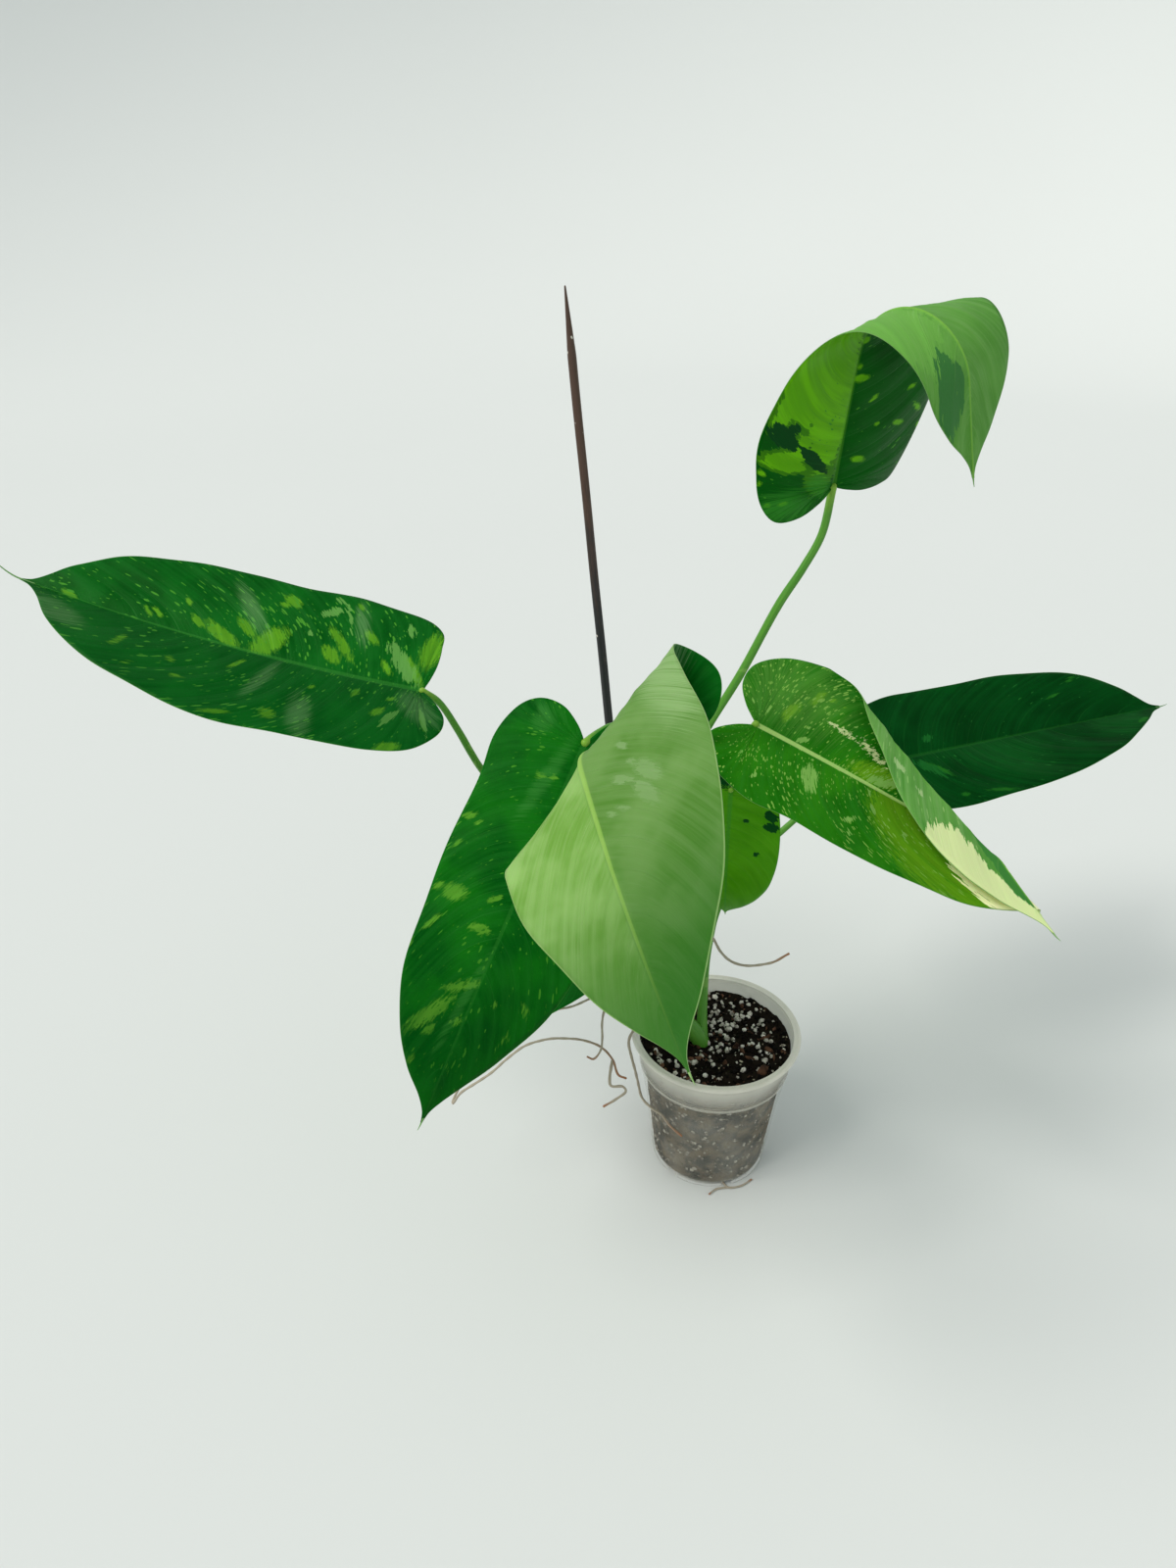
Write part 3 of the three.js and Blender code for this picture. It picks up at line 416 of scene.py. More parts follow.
# Patches of the mosaic: (x, y, half length, half width, turn in degrees) in the flat blade.
# pale, sage, cream and deep are colours of living tissue, mist is painted sheen, paler patches standing in
# for light reflected where the blade bends, and scar is a healed graze.
MOSAIC = {
    "leaf_left": dict(
        pale=[(145, -10, 5, 1.9, -31), (128, -6, 12, 3.4, -22), (115, -15, 7.4, 2.9, -36),
            (99, -9, 12, 6.5, 50), (94, -41, 5.6, 3, -19), (60, -11, 6.4, 3.5, -39),
            (56, -20, 12.5, 2.8, -46), (2, -28, 12, 5.5, 85), (9, -12, 11, 2.5, -51), (25, -10, 5, 1.8, -50),
            (40, -29, 6, 2.2, -43), (225, -1, 5.5, 1.7, -13), (176, -7, 4, 1.3, -42), (170, -8, 4, 1.3, -35),
            (154, -20, 2.6, 1.4, -38), (182, 23, 5.8, 2.2, 64), (148, 24, 3, 1.6, -25),
            (139, 36, 3.4, 1.4, -2), (80, 43, 4.6, 3, -7), (20, 24, 4.2, 2.4, 46), (7, 48, 6.2, 3.4, 23),
            (37, 13, 3.4, 1.7, 73), (109, 53, 7, 1.6, 17), (111, 13, 5.6, 1.4, 55), (15, 12, 2.5, 1.4, 35),
            (169, 37, 3, 1.3, 61), (-7, 24, 6.9, 1.3, -64), (63, 16, 2.2, 1.4, 33), (98, -37, 3, 1.3, -3),
            (53, -50, 3.4, 1.3, -43)],
        sage=[(69, -41, 7.8, 3.2, 36), (57, -40, 11.5, 1.2, -67), (18, -40, 5.2, 2.2, -63),
            (16, -15, 16.6, 4.9, -47), (77, -22, 2.5, 1.5, -32), (67, -51, 3.9, 1.8, -26),
            (-8, 25, 10.7, 1.4, -65), (12, 27, 7.5, 2.3, 64)],
        mist=[(115, -27, 18.3, 4.8, -46), (63, 38, 15.7, 7, -70), (224, 16, 18.4, 7.3, -16),
            (93, 19, 16.4, 4, 70), (-2, 16, 15.6, 7.3, -38), (48, -37, 14.4, 4.2, -69)]),
    "leaf_lower_left": dict(
        pale=[(27, -15, 3, 1.4, -72), (25, -8, 2, 1.2, -65), (62, -42, 4.2, 1.6, -64),
            (104, -42, 2.8, 1.5, -37), (104, -33, 6.4, 3.9, -77), (117, -12, 5.4, 2.3, -81),
            (99, -11, 4.2, 1.3, -51), (149, -8, 10, 2.2, -59), (170, -19, 13.5, 3.4, -33),
            (179, -16, 4.2, 1.8, -32), (169, -4, 3.3, 1.5, -46), (124, -38, 5.6, 1.3, -29),
            (79, -42, 2.8, 1.2, -28), (150, 29, 3.8, 1.3, 39), (170, 25, 3.2, 1.5, -40),
            (198, -19, 3, 1.4, -18), (64, -36, 2.2, 1.1, -46), (153, 12, 1.6, 1.2, 44),
            (139, -44, 2, 1.1, 6)],
        mist=[(27, -12, 24.5, 4, -11), (-4, -27, 7.9, 5.9, 13), (160, -5, 30, 2.4, -7)]),
    "leaf_centre": dict(
        pale=[(81, -19, 6.4, 2.4, -53), (85, -32, 9, 4, -29), (96, -28, 9, 3.4, -23),
            (95, -8, 2.9, 1.4, -57), (96, -15, 4.2, 1.4, -52), (61, -23, 3.4, 1.8, -42),
            (73, -25, 2.6, 1.7, -54)],
        mist=[(38, -56, 34, 15, -8)]),
    "leaf_upper_right": dict(
        pale=[(46, 11, 36, 15, -3), (72, 25, 34, 24, -12), (105, 22, 46, 24, 0), (55, 40, 15, 8, -35),
            (27, 28, 7, 6, -24), (21, 38, 15, 5, 71), (79, -1, 2.6, 1.8, -77), (59, -4, 4.8, 1.8, 90),
            (65, -2, 1.9, 1.4, -71), (14, -13, 5, 1.7, 78), (30, -39, 4.2, 1.6, 82), (36, -53, 6, 1.3, 56),
            (24, -60, 1.8, 1.3, -19), (47, -16, 3.2, 1.3, -58), (32, -22, 2, 1.1, 84), (16, 50, 3, 1.3, 60),
            (10, 50, 1.8, 1.6, -69), (-3, 43, 1.8, 1.2, -90), (-3, 34, 2.6, 1.2, -85),
            (49, -43, 3, 1.2, -73)],
        mist=[(-6, 33, 18, 9, 90), (3, 12, 9, 6, 60)],
        deep=[(19, 19, 14, 3.6, 50), (36, 43, 13, 5.2, 53), (39, 36, 5, 3, 72), (166, 15, 22, 8.4, 5),
            (163, 7, 13, 3.2, 1)]),
    "leaf_right": dict(
        pale=[(80, 8, 16, 6, 10), (100, -12, 22, 14, -50), (125, -27, 32, 18, -30), (150, -34, 24, 12, -15),
            (16, 18, 7.1, 3, 71), (27, 35, 5.9, 2.2, 67), (36, 38, 2, 1.5, 23), (44, 38, 1.1, 0.9, 72)],
        sage=[(44, -17, 9.3, 4.7, -68), (30, 5, 4.1, 1.7, 34), (30, 14, 1.8, 1, 46), (75, -29, 3.9, 1.8, 42),
            (13, -32, 2.5, 1.5, 70), (3, 12, 2.9, 0.9, 87), (86, -15, 3.9, 1.2, -50), (79, -5, 3.6, 1, -52),
            (78, -38, 2.3, 1.3, -44), (108, -21, 3, 1.2, -49), (0, -22, 1.7, 0.8, 89),
            (56, 30, 1.6, 1.1, 57), (-8, 13, 1.6, 0.9, -39), (43, -37, 1.2, 0.8, -18),
            (41, -4, 1.2, 0.9, -15), (104, 49, 6, 2.5, -20), (122, 40, 5, 1.8, -30), (84, 6, 9, 3.4, 20)],
        cream=[(168, -26, 30, 12, -12), (190, -10, 24, 12, -25), (167, 34, 26, 20, -30),
            (186, 20, 26, 13, -30), (205, 6, 18, 8, -25), (214, -3, 12, 6, 0)],
        mist=[(14, 30, 36, 26, 10)],
        deep=[(160, 3, 17, 6, -10), (184, 3, 16, 4.6, -4), (198, 1, 8, 2.5, -20)],
        scar=[(50, 23, 9.3, 1.8, 0), (71, 20, 12.5, 2.6, -16), (76, 17, 6.8, 1.6, -10)]),
    "leaf_far_right": dict(
        pale=[(180, 34, 4.6, 1.2, 32), (59, -16, 9.8, 1.6, -46), (95, -44, 10, 1.3, -12),
            (69, -41, 2.8, 1.4, -14), (162, 24, 5, 1.2, 15), (221, -10, 4.8, 1.4, 19)],
        sage=[(60, 12, 4.2, 3, 24), (52, -13, 13.7, 3.2, -46)],
        mist=[(110, -14, 38.8, 17.2, -26), (202, -7, 19.6, 11.5, -4), (123, -29, 20.4, 11.3, -25)]),
    "leaf_small": dict(
        deep=[(18, 27, 5.2, 3.8, 55), (27, 27, 5.2, 3.8, 63), (23, 11, 2.2, 2, -70), (53, 19, 2.8, 1.9, -48),
            (-13, -6, 12, 6, 13)]),
}


def patch_field(patches, x, y, floor):
    """How far inside the listed patches a point is: the highest of 1 - (distance / size)^2 over
    patches (x, y, half length, half width, turn in degrees), and floor far from them. It is above 0 inside
    a patch, and a patch stops at the midrib, as sectors of a leaf do."""
    field = np.full_like(x, floor)
    for px, py, long, wide, turn in patches:
        c, s = math.cos(math.radians(turn)), math.sin(math.radians(turn))
        u, v = (x - px) * c + (y - py) * s, (y - py) * c - (x - px) * s
        inside = 1 - (u / long) ** 2 - (v / wide) ** 2
        field = np.maximum(field, np.where(py * y < -abs(py) * 0.3, floor, inside))
    return field


def leaf_blade(name, upper, under, edge):
    """A thin closed blade: the middle surface moved out by half its thickness on both faces, with a shallow
    groove over the midrib above and the midrib standing out below. It thins towards the margin."""
    leaf = {**PLAIN_LEAF, **LEAVES[name]}
    middle, x, y, vein, across = blade_surface(leaf)
    rows, columns = x.shape
    faces = grid_faces(rows, columns)
    normals = vertex_normals(middle.reshape(-1, 3), faces).reshape(middle.shape)
    normals[0] = normals[1, COLUMNS]
    share = np.clip(x / leaf["length"], 0, 1)
    half = HALF_THICKNESS - MARGIN_THINNING * across[..., None] ** 2
    breadth = RIB_BREADTH - RIB_TAPER * share
    ridge = (np.exp(-(y / breadth) ** 2) * (1 - 0.85 * share))[..., None]
    top = middle + normals * (half - GROOVE * ridge)
    bottom = middle - normals * (half + RIB * ridge)
    points = np.vstack([top.reshape(-1, 3), bottom.reshape(-1, 3)])
    count = rows * columns
    i = np.arange(rows - 1)
    first, last = i * columns, i * columns + columns - 1
    right = np.stack([first, first + count, first + columns + count, first + columns], -1)
    left = np.stack([last, last + columns, last + columns + count, last + count], -1)
    j = (rows - 1) * columns + np.arange(columns - 1)
    tip = np.stack([j, j + count, j + 1 + count, j + 1], -1)
    rim = np.vstack([right, left, tip])
    under_faces = faces[:, ::-1] + count
    slots = np.repeat([0, 1, 2], [len(faces), len(faces), len(rim)])
    flat = np.stack([x, y], -1).reshape(-1, 2) / 100
    lines = np.stack([vein, across], -1).reshape(-1, 2)
    mosaic = MOSAIC.get(name, {})
    values = {key: patch_field(mosaic.get(key, ()), x, y, floor) for key, floor in PATCH_FLOORS.items()}
    values["rib"] = np.abs(y) / breadth
    make_piece(
        name + "_blade", name, points, np.vstack([faces, under_faces, rim]), [upper, under, edge],
        uvs={"flat": np.tile(flat, (2, 1)), "veins": np.tile(lines, (2, 1))},
        values={key: np.tile(value.ravel(), 2) for key, value in values.items()}, slots=slots)


def drip_tip(name, skin):
    """The dry thread that a blade ends in: a rod of 0.7 to 0.15 mm radius, going on along the midrib and
    curling up by rise * share^2 towards its end."""
    leaf = {**PLAIN_LEAF, **LEAVES[name]}
    middle = blade_surface(leaf)[0][:, COLUMNS]
    onward = middle[-1] - middle[-12]
    onward /= np.linalg.norm(onward)
    length, rise = leaf["thread"]
    share = np.linspace(-0.4, 1, 9)[:, None]
    route = middle[-1] + onward * length * share + np.array([0, 0, rise]) * np.maximum(share, 0) ** 2
    points, faces, uv, _ = tube(route, radius_rule((0.7, 0.5, 0.3, 0.15)), 40, 8)
    make_piece(name + "_drip_tip", name, points, faces, [skin], uvs={"flat": uv / 100}, whole=False)


def leaf_face(tree, look, seed, upper):
    """Living leaf skin. The upper face is a smooth waxy cuticle with a soft gloss; the lower face is paler
    and nearly matt. Both show the same mosaic of pale and dark patches, and light scatters a little inside
    them."""
    veins = add(tree, "UVMap", uv_map="veins")
    flat = add(tree, "UVMap", uv_map="flat")
    vein, across = add(tree, "SeparateXYZ", {0: veins}).node.outputs[:2]
    flat_x, flat_y = add(tree, "SeparateXYZ", {0: flat}).node.outputs[:2]

    def streaks(along, over, place, roughness, detail=3.0):
        """Noise drawn out along the veins: so many waves for each centimetre of margin and half blade."""
        run = add(tree, "Mapping", {0: veins, "Scale": (along, over, 1), "Location": place})
        return add(tree, "TexNoise", {"Vector": run, "Scale": 1.0, "Detail": detail, "Roughness": roughness})

    def ragged(key, wander, along, over):
        """Patches at the listed places, whose edge wanders along the veins."""
        value = add(tree, "Attribute", out=2, attribute_name=key)
        noise = streaks(along, over, (seed, 0, 0), 0.65)
        offset = add(tree, "MapRange", {0: noise, 1: 0.3, 2: 0.7, 3: -wander, 4: wander}, clamp=False)
        return add(tree, "Math", {0: value, 1: offset}, operation="ADD")

    broad = add(tree, "TexNoise", {"Vector": flat, "Scale": 2.6, "Detail": 3.0})
    band = streaks(1.6, 0.9, (seed, 4, 0), 0.6)
    fibre = streaks(9, 1.8, (seed, 0, 0), 0.7)
    marbled = streaks(0.9, 2.5, (seed * 7, 2, 0), 0.6, detail=5.0)

    # Flecks of half a millimetre to 3 mm, drawn out along the veins: one in each cell of a grid of cells,
    # of a size that chance and a broad noise set, and most of them too small to show
    cell = look["cells"]
    cells = add(tree, "Mapping", {0: veins, "Scale": (cell, cell * 3.2, 1), "Location": (seed * 3, 5, 0)})
    shake = add(tree, "TexNoise", {"Vector": cells, "Scale": 2.5, "Detail": 2.0}, out=1)
    cells = add(tree, "Mix", {0: 0.25, 4: cells, 5: shake}, out=1, data_type="VECTOR", blend_type="MIX")
    spot = add(tree, "TexVoronoi", {"Vector": cells, "Scale": 1.3}, voronoi_dimensions="2D")
    chance = add(tree, "SeparateColor", {0: spot.node.outputs["Color"]})
    zones = add(tree, "Mapping", {0: flat, "Location": (seed, 3, 0)})
    zone = add(tree, "TexNoise", {"Vector": zones, "Scale": 3.5, "Detail": 2.0})
    grow = add(tree, "Math", {0: zone, 1: 1.0, 2: chance}, operation="MULTIPLY_ADD")
    size = add(tree, "MapRange", {0: grow, 1: 1.45 - look["flecks"], 2: 2.2 - look["flecks"]})
    size = add(tree, "Math", {0: size, 1: 1.7}, operation="POWER")
    size = add(tree, "Math", {0: size, 1: 0.75}, operation="MULTIPLY")
    speck = add(tree, "Math", {0: size, 1: spot}, operation="SUBTRACT")

    # Side veins, drawn from the midrib almost to the edge
    number = add(tree, "Math", {0: vein, 1: 10 / SIDE_VEINS}, operation="MULTIPLY")
    apart = add(tree, "Math", {0: number, 1: 0.5}, operation="PINGPONG")
    line = add(tree, "MapRange", {0: apart, 1: 0.0, 2: 0.035, 3: 1.0, 4: 0.0},
               interpolation_type="SMOOTHSTEP")
    reach = add(tree, "Math", {0: across}, operation="ABSOLUTE")
    fade = add(tree, "MapRange", {0: reach, 1: 0.5, 2: 0.97, 3: 1.0, 4: 0.0})
    line = add(tree, "Math", {0: line, 1: fade}, operation="MULTIPLY")
    rib = add(tree, "Attribute", out=2, attribute_name="rib")
    pale = ragged("pale", look["jagged"], look["tooth"], look["tooth"] * 2)

    colour = paint(tree, look["dark"], (
        (broad, 0.38, 0.68, 1.0, look["mid"]),
        (band, 0.42, 0.72, look["bands"], look["mist"]),
        (marbled, look["marble"], look["marble"] + 0.03, 0.5, look["mist"]),
        (pale, -0.7, -0.6, 0.35, look["lime"]),
        (pale, 0.0, 0.06, 1.0, look["lime"]),
        (band, 0.35, 0.6, 0.3, look["mid"]),
        (speck, 0.0, 0.06, 1.0, look["fleck"]),
        (fibre, 0.5, 0.85, look["streak"], look["mist"]),
        (ragged("sage", 1.1, 5.0, 5.0), 0.0, 0.08, 0.9, look["sage"]),
        # Painted sheen: the mist patches turn the blade paler where it bends, standing in for light
        # reflected off it
        (ragged("mist", 1.2, 8.0, 1.5), -0.9, 1.3, look["sheen_strength"], look["sheen_tint"]),
        (ragged("cream", 0.5, 3.0, 6.0), 0.0, 0.05, 1.0, look["cream"]),
        (ragged("deep", 0.6, 3.0, 6.0), 0.0, 0.05, 1.0, look["deep"]),
        (ragged("scar", 2.2, 2.5, 22.0), 0.0, 0.8, 0.6, "#e8f2b4"),
        (line, 0.0, 1.0, look["vein_strength"], look["vein"]),
        # Painted shade on the half of the blade turned from the light; lit names the half that stays light
        (flat_y, 0.03 * look["lit"], -0.03 * look["lit"], look["half_shade"], look["shade"]),
        (rib, 0.95, 0.55, look["rib_strength"], look["rib"]),
        # Darker towards the tip, from 88 mm out
        (flat_x, 2.2 * 0.4, 2.2, look["tip_shade"], look["shade"]),
        (reach, 0.992, 0.999, 0.6, look["edge"]),
    ), blend="SMOOTHSTEP")

    # Cells and fine cross veins give the skin a grain of about half a millimetre
    grain = add(tree, "TexNoise", {"Vector": flat, "Scale": 160.0, "Detail": 2.0})
    height = add(tree, "Math", {0: grain, 1: 0.25}, operation="MULTIPLY")
    height = add(tree, "Math", {0: fibre, 1: 0.6, 2: height}, operation="MULTIPLY_ADD")
    height = add(tree, "Math", {0: band, 1: 3.0, 2: height}, operation="MULTIPLY_ADD")
    height = add(tree, "Math", {0: line, 1: -0.8 if upper else 1.0, 2: height}, operation="MULTIPLY_ADD")
    bump = add(tree, "Bump", {"Height": height, "Strength": 0.35, "Distance": 0.0004})
    sheen = add(tree, "TexNoise", {"Vector": flat, "Scale": 5.0, "Detail": 3.0})
    low, high = (0.3, 0.46) if upper else (0.5, 0.65)
    gloss = add(tree, "MapRange", {0: sheen, 1: 0.3, 2: 0.7, 3: low, 4: high})
    return {
        "Base Color": colour, "Roughness": gloss, "Normal": bump, "IOR": 1.45,
        "Subsurface Weight": 0.12, "Subsurface Radius": (0.35, 1.0, 0.25), "Subsurface Scale": 0.0015,
        "Specular IOR Level": 0.1, "Specular Tint": "#8fe08a"}


def leaf_edge(tree, colour):
    """The thin horny rim of a blade: clear, pale and slightly glossy."""
    flat = add(tree, "UVMap", uv_map="flat")
    mottle = add(tree, "TexNoise", {"Vector": flat, "Scale": 30.0, "Detail": 2.0})
    shade = add(tree, "Mix", {0: mottle, 6: colour, 7: "#5d8f42"}, out=2, data_type="RGBA")
    return {"Base Color": shade, "Roughness": 0.4}


# What the looks say: dark to mid is the ground, mist its pale bands and marbling, lime and fleck the mosaic,
# and a painted sheen, in a colour and strength of its own, lies on the mist patches. bands, streak, flecks,
# marble and the like say how much of each is seen, cells, jagged and tooth how fine flecks and ragged edges
# are, and lit which half is out of the shade.
UPPER = dict(
    dark="#004a0d", mid="#085f15", deep="#003f12", mist="#226f2c", lime="#5c9c20", fleck="#3f8824",
    cream="#f4f9c4", vein="#2a7a2e", rib="#358630", edge="#3c8230", sage="#4f8a3e", sheen_tint="#86a97e",
    shade="#003f12", bands=0.3, streak=0.2, cells=3.2, flecks=0.1, marble=0.66, vein_strength=0.2,
    rib_strength=0.4, jagged=0.8, tooth=4.5, sheen_strength=0.4, half_shade=0.0, lit=1, tip_shade=0.0)
UNDER = dict(
    UPPER, dark="#458838", mid="#649c4a", deep="#3a7439", mist="#92bd7a", lime="#86b166", fleck="#8bbb69",
    cream="#d8e8a6", vein="#7fae5e", rib="#7fb548", edge="#a9cc85", sage="#a3c585", sheen_tint="#a3c585",
    shade="#3f7f2a", bands=0.4, streak=0.35, flecks=0.0, marble=0.75, vein_strength=0.15,
    rib_strength=0.55, sheen_strength=0.3)

# How each leaf differs from the plain one: on its upper face, and on its under face
LEAF_LOOKS = {
    "leaf_left": (
        dict(fleck="#46902c", sage="#5f9a48", sheen_tint="#7fae74", shade="#004212", streak=0.15, cells=3.8,
             flecks=0.42, sheen_strength=0.33, half_shade=0.4, lit=-1),
        dict(edge="#4f8a3c")),
    "leaf_lower_left": (
        dict(mid="#0f680f", lime="#5a9a2c", sheen_tint="#3f8a3a", shade="#003a0a", streak=0.15, flecks=0.3,
             marble=0.72, rib_strength=0.25, jagged=1.2, tooth=6.0, tip_shade=0.6),
        dict(edge="#6fa553")),
    "leaf_centre": (
        {},
        dict(dark="#6a9a3e", mid="#8eb767", mist="#a6c886", lime="#a3c585", rib="#a2cc62", edge="#9cbf78",
             sheen_tint="#b9dc98", shade="#1c5a18", bands=0.25, streak=0.42, rib_strength=0.5, sheen_strength=0.9,
             half_shade=0.48, tip_shade=0.88)),
    "leaf_upper_right": (
        dict(dark="#004a06", mid="#005808", mist="#0d5c14", lime="#6ab80a", fleck="#3f8a20", rib="#4d9426",
             sheen_tint="#348a28", flecks=0.25, marble=0.75, jagged=0.45, tooth=2.5, sheen_strength=0.8),
        dict(dark="#4f8a34", mid="#5c973f", lime="#6aa648", edge="#6fa553", bands=0.2, jagged=0.45,
             tooth=2.5)),
    "leaf_right": (
        dict(dark="#136006", mid="#2a790c", deep="#2c7414", lime="#5f9618", fleck="#7aaa49", rib="#a6cc74",
             sage="#79ab52", sheen_tint="#79ab52", cells=5.2, flecks=0.46, rib_strength=0.85, sheen_strength=0.25),
        dict(dark="#4f9038", mid="#639f46", deep="#3d8036", edge="#7fae5c", flecks=0.35)),
    "leaf_far_right": (
        dict(dark="#002f0b", mid="#013c10", mist="#0a5520", lime="#1f651c", fleck="#1d5f24", sage="#155c22",
             sheen_tint="#155c22", streak=0.08, flecks=0.2, vein_strength=0.1, rib_strength=0.12, sheen_strength=0.35),
        dict(edge="#2f6f30")),
    "leaf_small": (
        dict(dark="#418a06", mid="#4c970a", mist="#62a82a", flecks=-0.3, marble=0.8),
        {}),
    "leaf_behind": ({}, {}),
}

for seed, (leaf_name, (above, below)) in enumerate(LEAF_LOOKS.items(), 1):
    top_look, under_look = {**UPPER, **above}, {**UNDER, **below}
    horny_rim = make_material(leaf_name + "_horny_rim", leaf_edge, under_look["edge"])
    leaf_blade(leaf_name, make_material(leaf_name + "_waxy_cuticle", leaf_face, top_look, seed, True),
               make_material(leaf_name + "_matt_underside", leaf_face, under_look, seed, False), horny_rim)
    drip_tip(leaf_name, horny_rim)


# Stem, petioles and roots

STEM = [(-10, -1, 66), (-10, -1, 103), (-17, 2, 113), (-30, 4, 126), (-43, 3, 146), (-52, 0, 176),
        (-57, -1, 211), (-61, -2, 248)]
STEM_RADII = (6, 6, 6.4, 6.2, 6, 6, 5.6, 3)
STEM_NODES = (0.33, 0.46, 0.6, 0.7, 0.79, 0.87, 0.94)
PETIOLES = {
    "leaf_left": ([(-56, -1, 196), (-78, 4, 222), (-116, 1, 270), (-156, -3, 330), (-162, -2, 341),
                   (-169, 0, 355), (-180, 3, 373)], (4, 2.8, 2.4, 2.2, 2.1)),
    "leaf_lower_left": ([(-59, -2, 230), (-57, 2, 262), (-60, -11, 300), (-63, -21, 337), (-68, -26, 366),
                         (-76, -35, 377), (-84, -44, 378)], (4, 2.8, 2.4, 2.4, 2.3)),
    "leaf_centre": ([(-56, -1, 206), (-50, -20, 250), (-45, -60, 320), (-49, -108, 388)],
                    (4, 2.8, 2.5, 2.4)),
    "leaf_upper_right": ([(-57, -1, 216), (-49, 5, 263), (-36, 0, 319), (-18, -4, 362), (-2, -4, 394),
                          (18, -1, 438), (30, 2, 458), (39, 5, 476)], (4, 2.9, 2.5, 2.4, 2.2)),
    "leaf_right": ([(-56, -1, 204), (-49, 15, 242), (-34, 30, 280), (-8, 31, 316), (8, 21, 340)],
                   (4, 2.7, 2.4, 2.3)),
    "leaf_far_right": ([(-10, -1, 100), (-8, 20, 128), (-4, 44, 151), (5, 64, 176), (28, 84, 203),
                        (53, 100, 218), (80, 110, 240)], (3.6, 3, 2.5, 2.3, 2.2)),
    "leaf_small": ([(-57, -1, 212), (-44, 20, 232), (-20, 34, 266), (-5, 27, 295)], (3.5, 2.2, 1.9, 1.8)),
    "leaf_behind": ([(-54, -1, 190), (-58, -12, 206), (-60, -20, 226)], (3.5, 2.3, 2, 1.9)),
}
ROOTS = {
    "root_long_left": ([
        [(-54, 0, 181), (-80, 2, 170), (-120, -6, 148), (-160, -14, 112), (-175, -22, 94),
         (-184, -34, 83), (-185, -38, 81), (-179, -35, 88), (-161, -30, 99), (-134, -19, 117),
         (-111, -16, 121), (-85, -22, 121), (-74, -31, 116), (-70, -40, 110), (-65, -42, 109)],
        [(-74, -32, 115), (-76, -41, 108), (-75, -45, 105), (-67, -46, 105), (-65, -48, 103), (-72, -52, 99),
         (-80, -55, 96)]], (1.1, 0.9, 0.8)),
    "root_hook": ([[(-52, 0, 174), (-66, -8, 162), (-79, -17, 149), (-81, -22, 141), (-81, -27, 131),
                    (-82, -31, 124), (-87, -34, 119), (-91, -33, 120)]], (1, 0.7)),
    "root_upper_left": ([[(-51, 1, 171), (-70, -6, 164), (-88, -17, 159), (-101, -20, 154),
                          (-116, -21, 151)]], (1, 0.7)),
    "root_right": ([[(-54, 0, 190), (-30, 6, 206), (-8, 5, 195), (-1, -1, 186), (6, -4, 180), (14, -6, 178),
                     (34, 0, 175), (47, 6, 178)]], (1.1, 0.8)),
    "root_over_rim": ([[(-38, 4, 138), (-50, -2, 128), (-58, -6, 120), (-62, -9, 112), (-59.5, -12, 98),
                        (-55.5, -15, 81), (-52, -18, 66), (-44, -28, 64), (-39, -34, 66), (-33, -39, 60),
                        (-25, -43.5, 55)]], (1.1, 0.8)),
    "root_foot": ([[(7, -36, 1.1), (11, -43, 1.1), (20, -42, 1.1), (29, -36, 1.1)],
                   [(11, -43, 1.1), (2, -45, 1.1), (-3, -49, 1.1)]], (0.8, 0.6)),
}


def stem_radius(share, turn):
    """The stem swells by 0.7 mm at each node and has the narrow groove of a leaf scar, 0.5 mm deep, just
    above it."""
    size = np.interp(share, np.linspace(0, 1, len(STEM_RADII)), STEM_RADII)
    for place in STEM_NODES:
        size = size + 0.7 * np.exp(-((share - place) / 0.012) ** 2)
        size = size - 0.5 * np.exp(-((share - place - 0.02) / 0.006) ** 2)
    return size * (1 + 0.02 * np.sin(3 * turn + 9 * share))


def green_flesh(tree, pale, deep):
    """Smooth green petiole skin: lengthwise fibres a millimetre apart, yellow green at the blade, waxy."""
    run = add(tree, "UVMap", uv_map="run")
    place = add(tree, "TexCoord", out=3)
    fibres = add(tree, "Mapping", {0: run, "Scale": (0.03, 14, 1)})
    fibre = add(tree, "TexNoise", {"Vector": fibres, "Scale": 1.0, "Detail": 3.0})
    spots = add(tree, "TexNoise", {"Vector": place, "Scale": 90.0, "Detail": 3.0})
    tone = add(tree, "Attribute", out=2, attribute_name="tone")
    colour = add(tree, "Mix", {0: fibre, 6: deep, 7: pale}, out=2, data_type="RGBA")
    colour = paint(tree, colour, ((tone, 0.95, 1.0, 0.55, "#93bd3c"), (spots, 0.62, 0.66, 0.35, "#8fb75c")))
    bump = add(tree, "Bump", {"Height": fibre, "Strength": 0.3, "Distance": 0.0004})
    return {
        "Base Color": colour, "Roughness": 0.38, "Specular IOR Level": 0.25, "Normal": bump,
        "Subsurface Weight": 0.1, "Subsurface Radius": (0.4, 1.0, 0.3), "Subsurface Scale": 0.002}


def root_skin(tree):
    """Dry aerial root: tan and grey cork in rings 4 mm apart, quite matt, with red-brown young ends."""
    run = add(tree, "UVMap", uv_map="run")
    rings = add(tree, "Mapping", {0: run, "Scale": (0.25, 3, 1)})
    cork = add(tree, "TexNoise", {"Vector": rings, "Scale": 1.0, "Detail": 5.0, "Roughness": 0.65})
    tone = add(tree, "Attribute", out=2, attribute_name="tone")
    colour = add(tree, "Mix", {0: cork, 6: "#7d7364", 7: "#c4bba8"}, out=2, data_type="RGBA")
    colour = paint(tree, colour, ((tone, 0.85, 1.0, 0.8, "#96592c"),))
    bump = add(tree, "Bump", {"Height": cork, "Strength": 0.6, "Distance": 0.0005})
    return {"Base Color": colour, "Roughness": 0.8, "Normal": bump}


